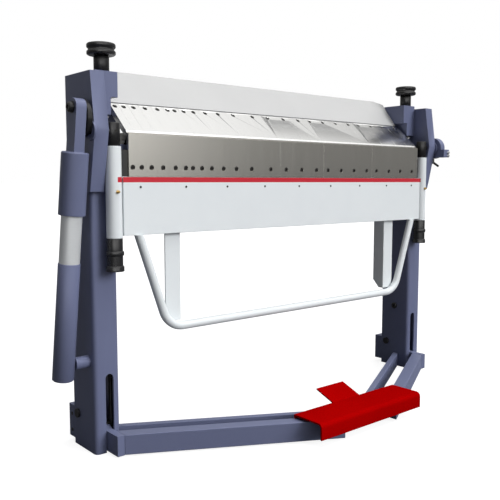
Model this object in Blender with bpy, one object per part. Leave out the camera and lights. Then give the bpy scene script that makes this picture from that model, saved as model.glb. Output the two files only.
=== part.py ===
"""Foot-clamped box and pan brake with segmented fingers, built from separate solids.

Metres, +Z up, the operator stands on the -Y side. Every piece is modelled about the
middle of the folding line's width with the floor at Z = 0, and the last step moves the
whole machine so that the middle of its bounding box's underside is at the origin.
"""

import math

import bmesh
import bpy
from mathutils import Matrix, Vector

# Overall sizes
SEGMENT_WIDTHS = (0.025, 0.030, 0.035, 0.040, 0.045, 0.050, 0.075, 0.100, 0.150, 0.200, 0.250, 0.270)
FOLD_WIDTH = sum(SEGMENT_WIDTHS)
HALF_WIDTH = FOLD_WIDTH / 2
FOLD_HEIGHT = 0.880
AXIS_Y = 0.010
GAP = 0.0003
CLEARANCE = 0.0015
SEGMENT_GAP = 0.0006

# Column: a folded channel, open at the back
COLUMN_WIDTH = 0.076
COLUMN_SHEET = 0.006
COLUMN_FRONT = 0.042
COLUMN_DEPTH = 0.128
COLUMN_TOP = FOLD_HEIGHT - 0.042
COLUMN_BEND = 0.012
COLUMN_MARGIN = 0.017
ARM_THICKNESS = 0.0215
ARM_CLEARANCE = 0.00155
SLOT_WIDTH = ARM_THICKNESS + 2 * ARM_CLEARANCE
SLOT_TOP = 0.222
REAR_BLOCK_DEPTH = 0.034
REAR_BLOCK_BOTTOM = 0.014
REAR_BLOCK_TOP = 0.110

# Side head: the thick cheek that carries the folding axis
CHEEK_THICKNESS = 0.0405
CHEEK_OVERHANG = 0.010
CHEEK_TOP = FOLD_HEIGHT + 0.154
CHEEK_BOTTOM = FOLD_HEIGHT - 0.158
CHEEK_TOP_FRONT = 0.013
CHEEK_NOSE_FRONT = -0.009
CHEEK_BOTTOM_FRONT = 0.024
CHEEK_BACK = 0.155
BOSS_RADIUS = 0.026
BOSS_LENGTH = 0.004

# Bed
BED_FRONT = 0.027
BED_BACK = 0.160
BED_HEIGHT = 0.160
BED_SHEET = 0.014
BLADE_DEPTH = 0.080
BLADE_HEIGHT = 0.031
BLADE_LAND = 0.008

# Fingers and clamp beam
FINGER_TOP_Y = 0.101
FINGER_TOP_Z = FOLD_HEIGHT + 0.085
FINGER_THICKNESS = 0.016
FINGER_FACET = 0.0057
FINGER_FACET_RUN = 0.0032
FINGER_HEEL = 0.020
PANEL_FOOT_Y = 0.104
PANEL_FOOT_Z = FOLD_HEIGHT + 0.088
PANEL_TOP_Y = 0.176
PANEL_TOP_Z = FOLD_HEIGHT + 0.185
PANEL_SHEET = 0.006
PANEL_CORNER_RUN = 0.052
PANEL_CORNER_DROP = 0.010
BEAM_WALL = 0.008
BEAM_BACK = 0.205
BEAM_BOTTOM = FOLD_HEIGHT + 0.025
BEAM_END_CLEARANCE = 0.0115
BRACKET_INNER = HALF_WIDTH - 0.0067
BRACKET_STEP = 0.0216
BRACKET_FRONT = 0.064
BRACKET_BACK = 0.160
BRACKET_TOP = FOLD_HEIGHT + 0.165
BRACKET_STEP_Z = FOLD_HEIGHT + 0.0966
BRACKET_BOTTOM = FOLD_HEIGHT + 0.049
BRACKET_SIDE_GAP = 0.0010
CLAMP_LIFT = 0.047

# Pressure screws
KNOB_X = HALF_WIDTH + 0.03
KNOB_Y = 0.085
KNOB_RADIUS = 0.039
KNOB_HEIGHT = 0.032
KNOB_GROOVE = 0.0035
SLEEVE_RADIUS = 0.021
SLEEVE_HEIGHT = 0.040
ROD_Y = 0.073
ROD_RADIUS = 0.006
ARM_ROD_CLEARANCE = 0.00175
EYE_RADIUS = 0.013
ROD_PIN_RADIUS = 0.005
SPRING_RADIUS = 0.011
SPRING_WIRE = 0.0035
SPRING_TURNS = 4

# Treadle
TREADLE_Y = 0.145
TREADLE_Z = 0.095
ARM_HEIGHT = 0.057
ARM_BOTTOM = 0.005
ARM_FRONT = -0.016
HUB_RADIUS = 0.024
PIVOT_RADIUS = 0.010
PIVOT_HEAD_RADIUS = 0.013
PIVOT_HEAD = 0.006
TREADLE_SLOPE = 0.551
TREADLE_BAR_WIDTH = 0.040
CROSSBAR_HALF = 0.118
PEDAL_HALF = 0.228
PEDAL_DEPTH = 0.112
PEDAL_OVERHANG = 0.0087
PEDAL_TOP = 0.074
PEDAL_SHEET = 0.005
PEDAL_FLANGE_BOTTOM = 0.026
PEDAL_BEND = 0.014
TAB_LEFT = -0.062
TAB_RIGHT = 0.060
TAB_RISE = 0.028
TAB_REACH = 0.072

# Floor brace
BRACE_WIDTH = 0.020
BRACE_HEIGHT = 0.053
BRACE_FRONT_Y = 0.086
BRACE_SLOPE = 0.555
BRACE_APEX_HALF = 0.060
BRACE_FOOT_HEIGHT = 0.028
BRACE_FOOT_REACH = 0.038
CROSSBAR_BOTTOM = BRACE_FOOT_HEIGHT + 0.006

# Folding leaf
LEAF_BOTTOM = FOLD_HEIGHT - 0.276
LEAF_FACE_TOP = FOLD_HEIGHT - 0.1185
LEAF_SHEET = 0.012
LEAF_BACKING = 0.010
LEAF_BACKING_TOP = FOLD_HEIGHT - 0.046
LEAF_FLANGE = COLUMN_FRONT - LEAF_SHEET - 0.002
SEGMENT_TOP_DROP = 0.0025
TUBE_X = HALF_WIDTH + 0.04
TUBE_Y = 0.013
TUBE_RADIUS = 0.0215
TUBE_BORE = 0.0125
TUBE_BOTTOM = FOLD_HEIGHT - 0.282
TUBE_TOP = FOLD_HEIGHT - 0.038
CAP_RADIUS = 0.019
CAP_TOP = FOLD_HEIGHT + 0.024
LEAF_ROD_RADIUS = 0.0115
LEAF_ROD_BOTTOM = FOLD_HEIGHT - 0.355
HINGE_PIN_RADIUS = 0.010
NUT_BOTTOM = FOLD_HEIGHT - 0.371
NUT_RADIUS = 0.0215
NUT_COLLAR = 0.0245
LEG_X = HALF_WIDTH - 0.148
LEG_WIDTH = 0.052
LEG_FRONT = 0.017
LEG_DEPTH = 0.048
LEG_SHEET = 0.005
LEG_BOTTOM = FOLD_HEIGHT - 0.531
LEG_CHAMFER = 0.030
HANDLE_RADIUS = 0.0125
HANDLE_Y = 0.004
HANDLE_Z = FOLD_HEIGHT - 0.545
HANDLE_TOP_X = HALF_WIDTH - 0.031
HANDLE_CORNER_X = HALF_WIDTH - 0.122
HANDLE_BEND = 0.070

# Leaf balance strut, on the left side only
DISC_RADIUS = 0.0495
DISC_THICKNESS = 0.0180
DISC_OFFSET_Y = 0.027
DISC_OFFSET_Z = 0.032
STRUT_TOP_OFFSET = 0.047
STRUT_TOP_RISE = 0.056
STRUT_FOOT_OFFSET = 0.071
STRUT_FOOT_Y = 0.079
STRUT_FOOT_Z = 0.258
STRUT_LINK_WIDTH = 0.029
STRUT_LINK_DEPTH = 0.046
STRUT_SLEEVE_RADIUS = 0.0350
STRUT_SLEEVE_BORE = 0.0290
STRUT_SLEEVE_TOP = 0.112
STRUT_SLEEVE_LENGTH = 0.163
STRUT_ROD_RADIUS = 0.0272
STRUT_TUBE_RADIUS = 0.0290
STRUT_TUBE_TOP = 0.402
STRUT_TAIL = 0.040
STUB_RADIUS = 0.017

# Angle stop, on the right side only
STOP_RADIUS = 0.040
STOP_BORE = HINGE_PIN_RADIUS + GAP
STOP_THICKNESS = 0.026
STOP_LUG = 0.030
LEVER_RADIUS = 0.0055
LEVER_LENGTH = 0.030
LEVER_OFFSET = 0.004

PANEL_HALF = BRACKET_INNER - GAP
LEAF_HALF = TUBE_X - TUBE_RADIUS - GAP
COLUMN_INNER = HALF_WIDTH + COLUMN_MARGIN
COLUMN_OUTER = COLUMN_INNER + COLUMN_WIDTH
COLUMN_BACK = COLUMN_FRONT + COLUMN_DEPTH
CHEEK_OUTER = COLUMN_OUTER + CHEEK_OVERHANG
CHEEK_INNER = CHEEK_OUTER - CHEEK_THICKNESS
ARM_X = KNOB_X + ROD_RADIUS + ARM_ROD_CLEARANCE + ARM_THICKNESS / 2
CROSSBAR_FRONT = ARM_FRONT - TREADLE_SLOPE * (ARM_X - ARM_THICKNESS / 2 - CROSSBAR_HALF - 2 * GAP)
PEDAL_FRONT = CROSSBAR_FRONT - PEDAL_OVERHANG
PEDAL_REAR = PEDAL_FRONT + PEDAL_DEPTH
STRUT_TOP = (-(COLUMN_OUTER + STRUT_TOP_OFFSET), AXIS_Y, FOLD_HEIGHT + STRUT_TOP_RISE)
STRUT_FOOT = (-(COLUMN_OUTER + STRUT_FOOT_OFFSET), STRUT_FOOT_Y, STRUT_FOOT_Z)
BRACKET_OUTER = CHEEK_INNER - BRACKET_SIDE_GAP
BED_TOP = FOLD_HEIGHT - BLADE_HEIGHT - GAP
KNOB_BOTTOM = BRACKET_TOP + SLEEVE_HEIGHT + CLEARANCE

BLUE = ("frame paint", (0.105, 0.115, 0.195, 1.0), 0.0, 0.45)
WHITE = ("leaf paint", (0.72, 0.75, 0.76, 1.0), 0.0, 0.40)
GREY = ("panel paint", (0.66, 0.66, 0.66, 1.0), 0.0, 0.45)
STEEL = ("ground steel", (0.62, 0.61, 0.59, 1.0), 1.0, 0.30)
BLACK = ("blackened steel", (0.020, 0.020, 0.022, 1.0), 0.4, 0.42)
RED = ("pedal paint", (0.45, 0.004, 0.006, 1.0), 0.0, 0.35)
ZINC = ("zinc plate", (0.55, 0.56, 0.58, 1.0), 1.0, 0.35)


def clear_scene():
    for obj in list(bpy.data.objects):
        bpy.data.objects.remove(obj)


def material(finish):
    """The Principled material of a finish, made once."""
    name, colour, metallic, roughness = finish
    found = bpy.data.materials.get(name)
    if found:
        return found
    made = bpy.data.materials.new(name)
    made.use_nodes = True
    shader = made.node_tree.nodes["Principled BSDF"]
    shader.inputs["Base Color"].default_value = colour
    shader.inputs["Metallic"].default_value = metallic
    shader.inputs["Roughness"].default_value = roughness
    return made


def joint_empty(name, place=(0.0, 0.0, 0.0), parent=None):
    """An empty on a joint's axis, which carries the pieces that move with it."""
    empty = bpy.data.objects.new(name, None)
    empty.location = Vector(place) - (world_place(parent) if parent else Vector())
    empty.parent = parent
    bpy.context.scene.collection.objects.link(empty)
    return empty


def world_place(obj):
    place = Vector(obj.location)
    while obj.parent:
        obj = obj.parent
        place += obj.location
    return place


def add_piece(name, shape, finish, body, smooth=False):
    """Turns a bmesh drawn in machine coordinates into an object carried by a body's empty."""
    bmesh.ops.remove_doubles(shape, verts=shape.verts, dist=1e-6)
    bmesh.ops.recalc_face_normals(shape, faces=shape.faces)
    mesh = bpy.data.meshes.new(name)
    shape.to_mesh(mesh)
    shape.free()
    mesh.transform(Matrix.Translation(-world_place(body)))
    if smooth:
        mesh.shade_smooth()
        mesh.set_sharp_from_angle(angle=math.radians(35))
    mesh.materials.append(material(finish))
    obj = bpy.data.objects.new(name, mesh)
    obj.parent = body
    bpy.context.scene.collection.objects.link(obj)
    return obj


def combine(obj, shape, operation="DIFFERENCE"):
    """Cuts a helper shape from an object, or joins it on."""
    number = len(obj.modifiers) + 1
    helper = add_piece(f"{obj.name}_helper_{number}", shape, STEEL, obj.parent)
    helper.hide_render = True
    helper.display_type = "WIRE"
    modifier = obj.modifiers.new(f"{operation.lower()} {number}", "BOOLEAN")
    modifier.operation = operation
    modifier.solver = "EXACT"
    modifier.object = helper
    return obj


def spread(points, axis, start, end):
    """A closed outline swept along an axis: for X it holds (y, z), for Y (x, z), for Z (x, y)."""
    order = {"X": (2, 0, 1), "Y": (0, 2, 1), "Z": (0, 1, 2)}[axis]
    shape = bmesh.new()
    rings = []
    for level in (start, end):
        places = [(a, b, level) for a, b in points]
        rings.append([shape.verts.new([place[i] for i in order]) for place in places])
    shape.faces.new(rings[0])
    shape.faces.new(rings[1])
    for i in range(len(points)):
        j = (i + 1) % len(points)
        shape.faces.new((rings[0][i], rings[0][j], rings[1][j], rings[1][i]))
    return shape


def hollow_spread(outer, inner, start, end):
    """An open-ended tube along X between two (y, z) outlines with matching corners."""
    shape = bmesh.new()
    rings = []
    for outline in (outer, inner):
        for level in (start, end):
            rings.append([shape.verts.new((level, y, z)) for y, z in outline])
    for i in range(len(outer)):
        j = (i + 1) % len(outer)
        for a, b in ((0, 1), (1, 3), (3, 2), (2, 0)):
            shape.faces.new((rings[a][i], rings[a][j], rings[b][j], rings[b][i]))
    return shape


def box(low, high):
    outline = [(low[0], low[1]), (high[0], low[1]), (high[0], high[1]), (low[0], high[1])]
    return spread(outline, "Z", low[2], high[2])


def turned(profile, foot, direction, sides=24):
    """A profile of (radius, height) turned about the line from foot along direction."""
    shape = bmesh.new()
    turn = Vector((0, 0, 1)).rotation_difference(Vector(direction)).to_matrix().to_4x4()
    frame = Matrix.Translation(foot) @ turn
    rings = []
    for radius, height in profile:
        count = 1 if radius == 0 else sides
        angles = [math.tau * i / sides for i in range(count)]
        places = [(radius * math.cos(a), radius * math.sin(a), height) for a in angles]
        rings.append([shape.verts.new(frame @ Vector(place)) for place in places])
    closed = profile[0][0] > 0
    pairs = list(zip(rings, rings[1:] + ([rings[0]] if closed else [])))
    for lower, upper in pairs:
        for i in range(sides):
            j = (i + 1) % sides
            corners = [lower[i % len(lower)], lower[j % len(lower)], upper[j % len(upper)], upper[i % len(upper)]]
            shape.faces.new(list(dict.fromkeys(corners)))
    return shape


def rod(radius, foot, top, sides=20):
    """A plain cylinder between two points."""
    along = Vector(top) - Vector(foot)
    profile = [(0, 0), (radius, 0), (radius, along.length), (0, along.length)]
    return turned(profile, foot, along.normalized(), sides)


def tube(outer, bore, foot, top, sides=24):
    along = Vector(top) - Vector(foot)
    profile = [(bore, 0), (outer, 0), (outer, along.length), (bore, along.length)]
    return turned(profile, foot, along.normalized(), sides)


def arc(centre, radius, start, end, steps):
    """Points on an arc, from one angle to another in degrees."""
    angles = [math.radians(start + (end - start) * i / steps) for i in range(steps + 1)]
    return [(centre[0] + radius * math.cos(a), centre[1] + radius * math.sin(a)) for a in angles]


def inset_outline(points, distance):
    """The outline moved inwards by a wall, for an outline that runs anticlockwise."""
    found = []
    count = len(points)
    for i in range(count):
        before, here, after = (Vector(points[(i + k) % count]) for k in (-1, 0, 1))
        first, second = (here - before).normalized(), (after - here).normalized()
        normals = [Vector((-d.y, d.x)) for d in (first, second)]
        bisector = (normals[0] + normals[1]).normalized()
        found.append(tuple(here + bisector * (distance / bisector.dot(normals[0]))))
    return found


def side_name(base, side):
    return f"{base}_left" if side < 0 else f"{base}_right"


def mirrored(outline, side):
    """An outline in X turned to the machine's left or right side."""
    return [(side * x, other) for x, other in outline]


def finger_direction():
    foot = Vector((AXIS_Y + FINGER_FACET_RUN, FOLD_HEIGHT + GAP + FINGER_FACET))
    return (Vector((FINGER_TOP_Y, FINGER_TOP_Z)) - foot).normalized()


def add_columns(frame):
    for side in (-1, 1):
        inner, outer, sheet = COLUMN_INNER, COLUMN_OUTER, COLUMN_SHEET
        front, back, bend = COLUMN_FRONT, COLUMN_BACK, COLUMN_BEND
        outline = [(inner, back)]
        outline += arc((inner + bend, front + bend), bend, 180, 270, 3)
        outline += arc((outer - bend, front + bend), bend, 270, 360, 3)
        outline += [(outer, back), (outer - sheet, back)]
        outline += arc((outer - bend, front + bend), bend - sheet, 360, 270, 2)
        outline += arc((inner + bend, front + bend), bend - sheet, 270, 180, 2)
        outline += [(inner + sheet, back)]
        shape = spread(mirrored(outline, side), "Z", 0.0, COLUMN_TOP)
        column = add_piece(side_name("column", side), shape, BLUE, frame)
        inset = sheet * 0.7
        low, high = sorted((side * (inner + inset), side * (outer - inset)))
        cap = box((low, front + inset, COLUMN_TOP - sheet), (high, back - 0.001, COLUMN_TOP - 0.0005))
        combine(column, cap, "UNION")
        rod_hole = rod(ROD_RADIUS + 0.001, (side * KNOB_X, ROD_Y, COLUMN_TOP - 2 * sheet),
                       (side * KNOB_X, ROD_Y, COLUMN_TOP + sheet), 16)
        combine(column, rod_hole)
        half = SLOT_WIDTH / 2
        slot = [(ARM_X - half, -0.02), (ARM_X + half, -0.02)]
        slot += arc((ARM_X, SLOT_TOP - half), half, 0, 180, 6)
        combine(column, spread(mirrored(slot, side), "Y", front - 0.02, front + sheet + 0.01))
        for x in (inner + sheet / 2, outer - sheet / 2):
            bore = rod(PIVOT_RADIUS + GAP, (side * x - 0.006, TREADLE_Y, TREADLE_Z),
                       (side * x + 0.006, TREADLE_Y, TREADLE_Z), 16)
            combine(column, bore)
        if side < 0:
            start = -(outer - sheet / 2)
            end = STRUT_FOOT[0] + STRUT_TUBE_RADIUS + CLEARANCE
            stub = rod(STUB_RADIUS, (start, *STRUT_FOOT[1:]), (end, *STRUT_FOOT[1:]))
            combine(column, stub, "UNION")


def add_rear_blocks(frame):
    for side in (-1, 1):
        low, high = sorted((side * COLUMN_INNER, side * COLUMN_OUTER))
        back = COLUMN_BACK + GAP
        shape = box((low, back, REAR_BLOCK_BOTTOM), (high, back + REAR_BLOCK_DEPTH, REAR_BLOCK_TOP))
        add_piece(side_name("rear_block", side), shape, BLUE, frame)


def cheek_outline(step_z=None):
    """The cheek from the side; with a step it leaves room for the column's top."""
    nose = FOLD_HEIGHT + 0.002
    outline = [(CHEEK_BOTTOM_FRONT, CHEEK_BOTTOM)]
    if step_z is None:
        outline += [(CHEEK_BACK, CHEEK_BOTTOM)]
    else:
        edge = COLUMN_FRONT - GAP
        outline += [(edge, CHEEK_BOTTOM), (edge, step_z), (CHEEK_BACK, step_z)]
    return outline + [(CHEEK_BACK, CHEEK_TOP), (CHEEK_TOP_FRONT, CHEEK_TOP), (CHEEK_NOSE_FRONT, nose)]


def add_cheeks(frame):
    for side in (-1, 1):
        joint = COLUMN_OUTER + GAP
        plate = spread(cheek_outline(), "X", side * joint, side * CHEEK_OUTER)
        block = spread(cheek_outline(COLUMN_TOP + GAP), "X", side * CHEEK_INNER, side * (joint + 0.001))
        cheek = add_piece(side_name("cheek", side), plate, BLUE, frame)
        combine(cheek, block, "UNION")
        boss = rod(BOSS_RADIUS, (side * (CHEEK_OUTER - 0.002), AXIS_Y, FOLD_HEIGHT),
                   (side * (CHEEK_OUTER + BOSS_LENGTH), AXIS_Y, FOLD_HEIGHT))
        combine(cheek, boss, "UNION")
        reach = CHEEK_OUTER + BOSS_LENGTH + 0.01
        bore = rod(HINGE_PIN_RADIUS + GAP, (side * (CHEEK_INNER - 0.01), AXIS_Y, FOLD_HEIGHT),
                   (side * reach, AXIS_Y, FOLD_HEIGHT))
        combine(cheek, bore)


def add_bed(frame):
    top, bottom, sheet = BED_TOP, BED_TOP - BED_HEIGHT, BED_SHEET
    outline = [(BED_FRONT, bottom), (BED_BACK, bottom), (BED_BACK, bottom + sheet)]
    outline += [(BED_FRONT + sheet, bottom + sheet), (BED_FRONT + sheet, top - sheet)]
    outline += [(BED_BACK, top - sheet), (BED_BACK, top), (BED_FRONT, top)]
    half = COLUMN_INNER - GAP
    add_piece("bed_beam", spread(outline, "X", -half, half), BLUE, frame)
    foot = FOLD_HEIGHT - BLADE_HEIGHT
    blade = [(AXIS_Y, FOLD_HEIGHT), (AXIS_Y, FOLD_HEIGHT - BLADE_LAND), (BED_FRONT, foot)]
    blade += [(AXIS_Y + BLADE_DEPTH, foot), (AXIS_Y + BLADE_DEPTH, FOLD_HEIGHT)]
    add_piece("bed_blade", spread(blade, "X", -HALF_WIDTH, HALF_WIDTH), STEEL, frame)


def add_floor_brace(frame):
    """Two bars on the floor that meet ahead of the columns and keep the machine upright."""
    lean = math.hypot(1.0, BRACE_SLOPE)
    for side in (-1, 1):
        x0, x1 = COLUMN_INNER - GAP, BRACE_APEX_HALF
        outline = []
        for x, offset in ((x0, 0.0), (x0, BRACE_WIDTH), (x1, BRACE_WIDTH), (x1, 0.0)):
            front = BRACE_FRONT_Y - BRACE_SLOPE * (x0 - x)
            outline.append((x, front + offset * lean))
        shape = spread(mirrored(outline, side), "Z", 0.0, BRACE_HEIGHT)
        add_piece(side_name("floor_brace", side), shape, BLUE, frame)
    x = BRACE_APEX_HALF - GAP
    front = BRACE_FRONT_Y - BRACE_SLOPE * (COLUMN_INNER - GAP - BRACE_APEX_HALF)
    shape = box((-x, front - BRACE_FOOT_REACH, 0.0), (x, front + BRACE_WIDTH * lean, BRACE_FOOT_HEIGHT))
    add_piece("brace_foot", shape, GREY, frame)


def add_treadle_pivots(frame):
    for side in (-1, 1):
        inner, outer = COLUMN_INNER - GAP, COLUMN_OUTER + GAP
        profile = [(0, 0), (PIVOT_HEAD_RADIUS, 0), (PIVOT_HEAD_RADIUS, PIVOT_HEAD), (PIVOT_RADIUS, PIVOT_HEAD)]
        length = outer - inner + 2 * PIVOT_HEAD
        profile += [(PIVOT_RADIUS, length - PIVOT_HEAD), (PIVOT_HEAD_RADIUS, length - PIVOT_HEAD)]
        profile += [(PIVOT_HEAD_RADIUS, length), (0, length)]
        foot = (side * (inner - PIVOT_HEAD), TREADLE_Y, TREADLE_Z)
        shape = turned(profile, foot, (side, 0, 0), 20)
        add_piece(side_name("treadle_pivot", side), shape, BLACK, frame, smooth=True)


def spring_shape(centre, foot, top):
    """A coil of round wire between two heights."""
    shape = bmesh.new()
    per_turn, sides = 14, 6
    steps = SPRING_TURNS * per_turn
    low, high = foot + SPRING_WIRE / 2, top - SPRING_WIRE / 2
    rings = []
    for i in range(steps + 1):
        angle = math.tau * i / per_turn
        height = low + (high - low) * i / steps
        radial = Vector((math.cos(angle), math.sin(angle), 0.0))
        middle = Vector((centre[0], centre[1], height)) + radial * SPRING_RADIUS
        ring = []
        for k in range(sides):
            turn = math.tau * k / sides
            offset = radial * math.cos(turn) + Vector((0, 0, math.sin(turn)))
            ring.append(shape.verts.new(middle + offset * SPRING_WIRE / 2))
        rings.append(ring)
    for lower, upper in zip(rings, rings[1:]):
        for k in range(sides):
            m = (k + 1) % sides
            shape.faces.new((lower[k], lower[m], upper[m], upper[k]))
    shape.faces.new(rings[0])
    shape.faces.new(rings[-1])
    return shape


def add_lift_springs(frame):
    """Springs round the pull rods that carry the clamp beam's weight when it is released."""
    for side in (-1, 1):
        shape = spring_shape((side * KNOB_X, ROD_Y), COLUMN_TOP + GAP, BRACKET_BOTTOM - CLEARANCE)
        add_piece(side_name("lift_spring", side), shape, ZINC, frame, smooth=True)


def segment_places():
    """The left and right ends of each finger across the folding width."""
    places = []
    left = -HALF_WIDTH
    for width in SEGMENT_WIDTHS:
        places.append((left + SEGMENT_GAP / 2, left + width - SEGMENT_GAP / 2))
        left += width
    return places


def add_fingers(clamp):
    along = finger_direction()
    inward = Vector((along.y, -along.x))
    nose = Vector((AXIS_Y, FOLD_HEIGHT + GAP))
    facet = nose + Vector((FINGER_FACET_RUN, FINGER_FACET))
    top = Vector((FINGER_TOP_Y, FINGER_TOP_Z))
    back_top = top + inward * FINGER_THICKNESS
    rise = (back_top.y - (nose.y + 0.006)) / along.y
    back_foot = back_top - along * rise
    heel = nose + Vector((FINGER_HEEL, 0))
    outline = [tuple(point) for point in (nose, heel, back_foot, back_top, top, facet)]
    for number, (left, right) in enumerate(segment_places(), 1):
        add_piece(f"finger_{number:02d}", spread(outline, "X", left, right), STEEL, clamp)


def beam_outline():
    """The clamp beam's section, anticlockwise from the back of the fingers."""
    along = finger_direction()
    inward = Vector((along.y, -along.x))
    lower = Vector((FINGER_TOP_Y, FINGER_TOP_Z)) + inward * (FINGER_THICKNESS + GAP)
    foot, top = Vector((PANEL_FOOT_Y, PANEL_FOOT_Z)), Vector((PANEL_TOP_Y, PANEL_TOP_Z))
    rise = (top - foot).normalized()
    behind = Vector((rise.y, -rise.x)) * (PANEL_SHEET + GAP)
    upper = foot + behind
    start = lower - along * ((lower.y - BEAM_BOTTOM) / along.y)
    crest_z = PANEL_TOP_Z - PANEL_CORNER_DROP - 0.002
    crest = upper + rise * ((crest_z - upper.y) / rise.y)
    corners = [start, (BEAM_BACK, BEAM_BOTTOM), (BEAM_BACK, crest_z), crest, upper, lower + along * GAP]
    return [tuple(corner) for corner in corners]


def add_clamp_beam(clamp):
    outline = beam_outline()
    half = BRACKET_INNER - BEAM_END_CLEARANCE
    shape = hollow_spread(outline, inset_outline(outline, BEAM_WALL), -half, half)
    add_piece("clamp_beam", shape, BLUE, clamp)
    foot, top = Vector((PANEL_FOOT_Y, PANEL_FOOT_Z)), Vector((PANEL_TOP_Y, PANEL_TOP_Z))
    rise = (top - foot).normalized()
    behind = Vector((rise.y, -rise.x)) * PANEL_SHEET
    length = (top - foot).length
    drop = PANEL_CORNER_DROP * length / (PANEL_TOP_Z - PANEL_FOOT_Z)
    front = [(-PANEL_HALF, 0), (PANEL_HALF, 0), (PANEL_HALF, length - drop)]
    front += [(PANEL_HALF - PANEL_CORNER_RUN, length), (PANEL_CORNER_RUN - PANEL_HALF, length)]
    front += [(-PANEL_HALF, length - drop)]
    shape = spread(front, "Z", 0.0, PANEL_SHEET)
    for vertex in shape.verts:
        x, run, depth = vertex.co
        place = foot + rise * run + behind * (depth / PANEL_SHEET)
        vertex.co = (x, place.x, place.y)
    add_piece("clamp_panel", shape, GREY, clamp)


def add_beam_brackets(clamp):
    """The stepped brackets at the beam's ends, each with a web that closes the hollow beam."""
    for side in (-1, 1):
        inner, outer = BRACKET_INNER, BRACKET_OUTER
        outline = [(inner + BRACKET_STEP, BRACKET_BOTTOM), (outer, BRACKET_BOTTOM), (outer, BRACKET_TOP)]
        outline += [(inner, BRACKET_TOP), (inner, BRACKET_STEP_Z), (inner + BRACKET_STEP, BRACKET_STEP_Z)]
        shape = spread(mirrored(outline, side), "Y", BRACKET_FRONT, BRACKET_BACK)
        bracket = add_piece(side_name("beam_bracket", side), shape, BLUE, clamp)
        web_start = BRACKET_INNER - BEAM_END_CLEARANCE + GAP
        web = spread(beam_outline(), "X", side * web_start, side * (BRACKET_INNER + 0.002))
        combine(bracket, web, "UNION")


def add_pressure_screws(clamp):
    for side in (-1, 1):
        foot = (side * KNOB_X, KNOB_Y, BRACKET_TOP + GAP)
        chamfer = 0.002
        profile = [(0, 0), (SLEEVE_RADIUS, 0), (SLEEVE_RADIUS, SLEEVE_HEIGHT - chamfer)]
        profile += [(SLEEVE_RADIUS - chamfer, SLEEVE_HEIGHT), (0, SLEEVE_HEIGHT)]
        shape = turned(profile, foot, (0, 0, 1))
        add_piece(side_name("screw_sleeve", side), shape, BLACK, clamp, smooth=True)


def add_pull_rods(clamp):
    """Rods that hang in the columns from the brackets and end in an eye and pin on the treadle arm."""
    sweep = math.asin(CLAMP_LIFT / 2 / math.hypot(TREADLE_Y - ROD_Y, CLAMP_LIFT / 2))
    eye_z = TREADLE_Z - (TREADLE_Y - ROD_Y) * math.tan(sweep)
    for side in (-1, 1):
        foot = (side * KNOB_X, ROD_Y, eye_z)
        top = (side * KNOB_X, ROD_Y, BRACKET_BOTTOM - GAP)
        obj = add_piece(side_name("pull_rod", side), rod(ROD_RADIUS, foot, top, 14), ZINC, clamp, True)
        half = ROD_RADIUS - GAP
        eye = rod(EYE_RADIUS, (side * KNOB_X - half, ROD_Y, eye_z), (side * KNOB_X + half, ROD_Y, eye_z), 18)
        combine(obj, eye, "UNION")
        end = side * (ARM_X + ARM_THICKNESS / 2 + 0.002)
        pin = rod(ROD_PIN_RADIUS, (side * KNOB_X, ROD_Y, eye_z), (end, ROD_Y, eye_z), 14)
        combine(obj, pin, "UNION")


def add_knobs(bodies):
    for side in (-1, 1):
        foot = (side * KNOB_X, KNOB_Y, KNOB_BOTTOM)
        radius, height, groove = KNOB_RADIUS, KNOB_HEIGHT, KNOB_GROOVE
        profile = [(0, 0), (radius - groove, 0)]
        profile += [(radius, 0.003), (radius, height * 0.36), (radius - groove, height * 0.44)]
        profile += [(radius - groove, height * 0.56), (radius, height * 0.64), (radius, height - 0.003)]
        profile += [(radius - groove, height), (0, height)]
        name = side_name("knob", side)
        add_piece(name, turned(profile, foot, (0, 0, 1), 32), BLACK, bodies[name], smooth=True)


def arm_outline():
    """The treadle arm from the side: a level bar that rises to the hub on the pivot."""
    bottom, top = ARM_BOTTOM, ARM_BOTTOM + ARM_HEIGHT
    rear = COLUMN_FRONT + COLUMN_SHEET + 0.004
    outline = [(ARM_FRONT, bottom), (COLUMN_FRONT + 0.008, bottom)]
    outline += arc((TREADLE_Y, TREADLE_Z), HUB_RADIUS, -70, 110, 8)
    return outline + [(rear, top), (ARM_FRONT, top)]


def add_treadle_arms(treadle):
    reach = TREADLE_Y - ROD_Y
    sweep = math.atan(CLAMP_LIFT / 2 / reach)
    slot_half = ROD_PIN_RADIUS + 0.0012
    middle = (reach + reach / math.cos(sweep)) / 2
    travel = (reach / math.cos(sweep) - reach) / 2 + 0.001
    away = Vector((-math.cos(sweep), -math.sin(sweep)))
    across = Vector((-away.y, away.x))
    centre = Vector((TREADLE_Y, TREADLE_Z)) + away * middle
    for side in (-1, 1):
        half = ARM_THICKNESS / 2
        shape = spread(arm_outline(), "X", side * (ARM_X - half), side * (ARM_X + half))
        arm = add_piece(side_name("treadle_arm", side), shape, BLUE, treadle)
        slot = []
        for angle in range(0, 360, 30):
            turn = math.radians(angle)
            shift = travel if math.cos(turn) >= 0 else -travel
            along = shift + slot_half * math.cos(turn)
            slot.append(tuple(centre + away * along + across * (slot_half * math.sin(turn))))
        combine(arm, spread(slot, "X", side * (ARM_X - half - 0.004), side * (ARM_X + half + 0.004)))
        bore = rod(PIVOT_RADIUS + GAP, (side * (ARM_X - half - 0.004), TREADLE_Y, TREADLE_Z),
                   (side * (ARM_X + half + 0.004), TREADLE_Y, TREADLE_Z), 16)
        combine(arm, bore)


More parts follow.
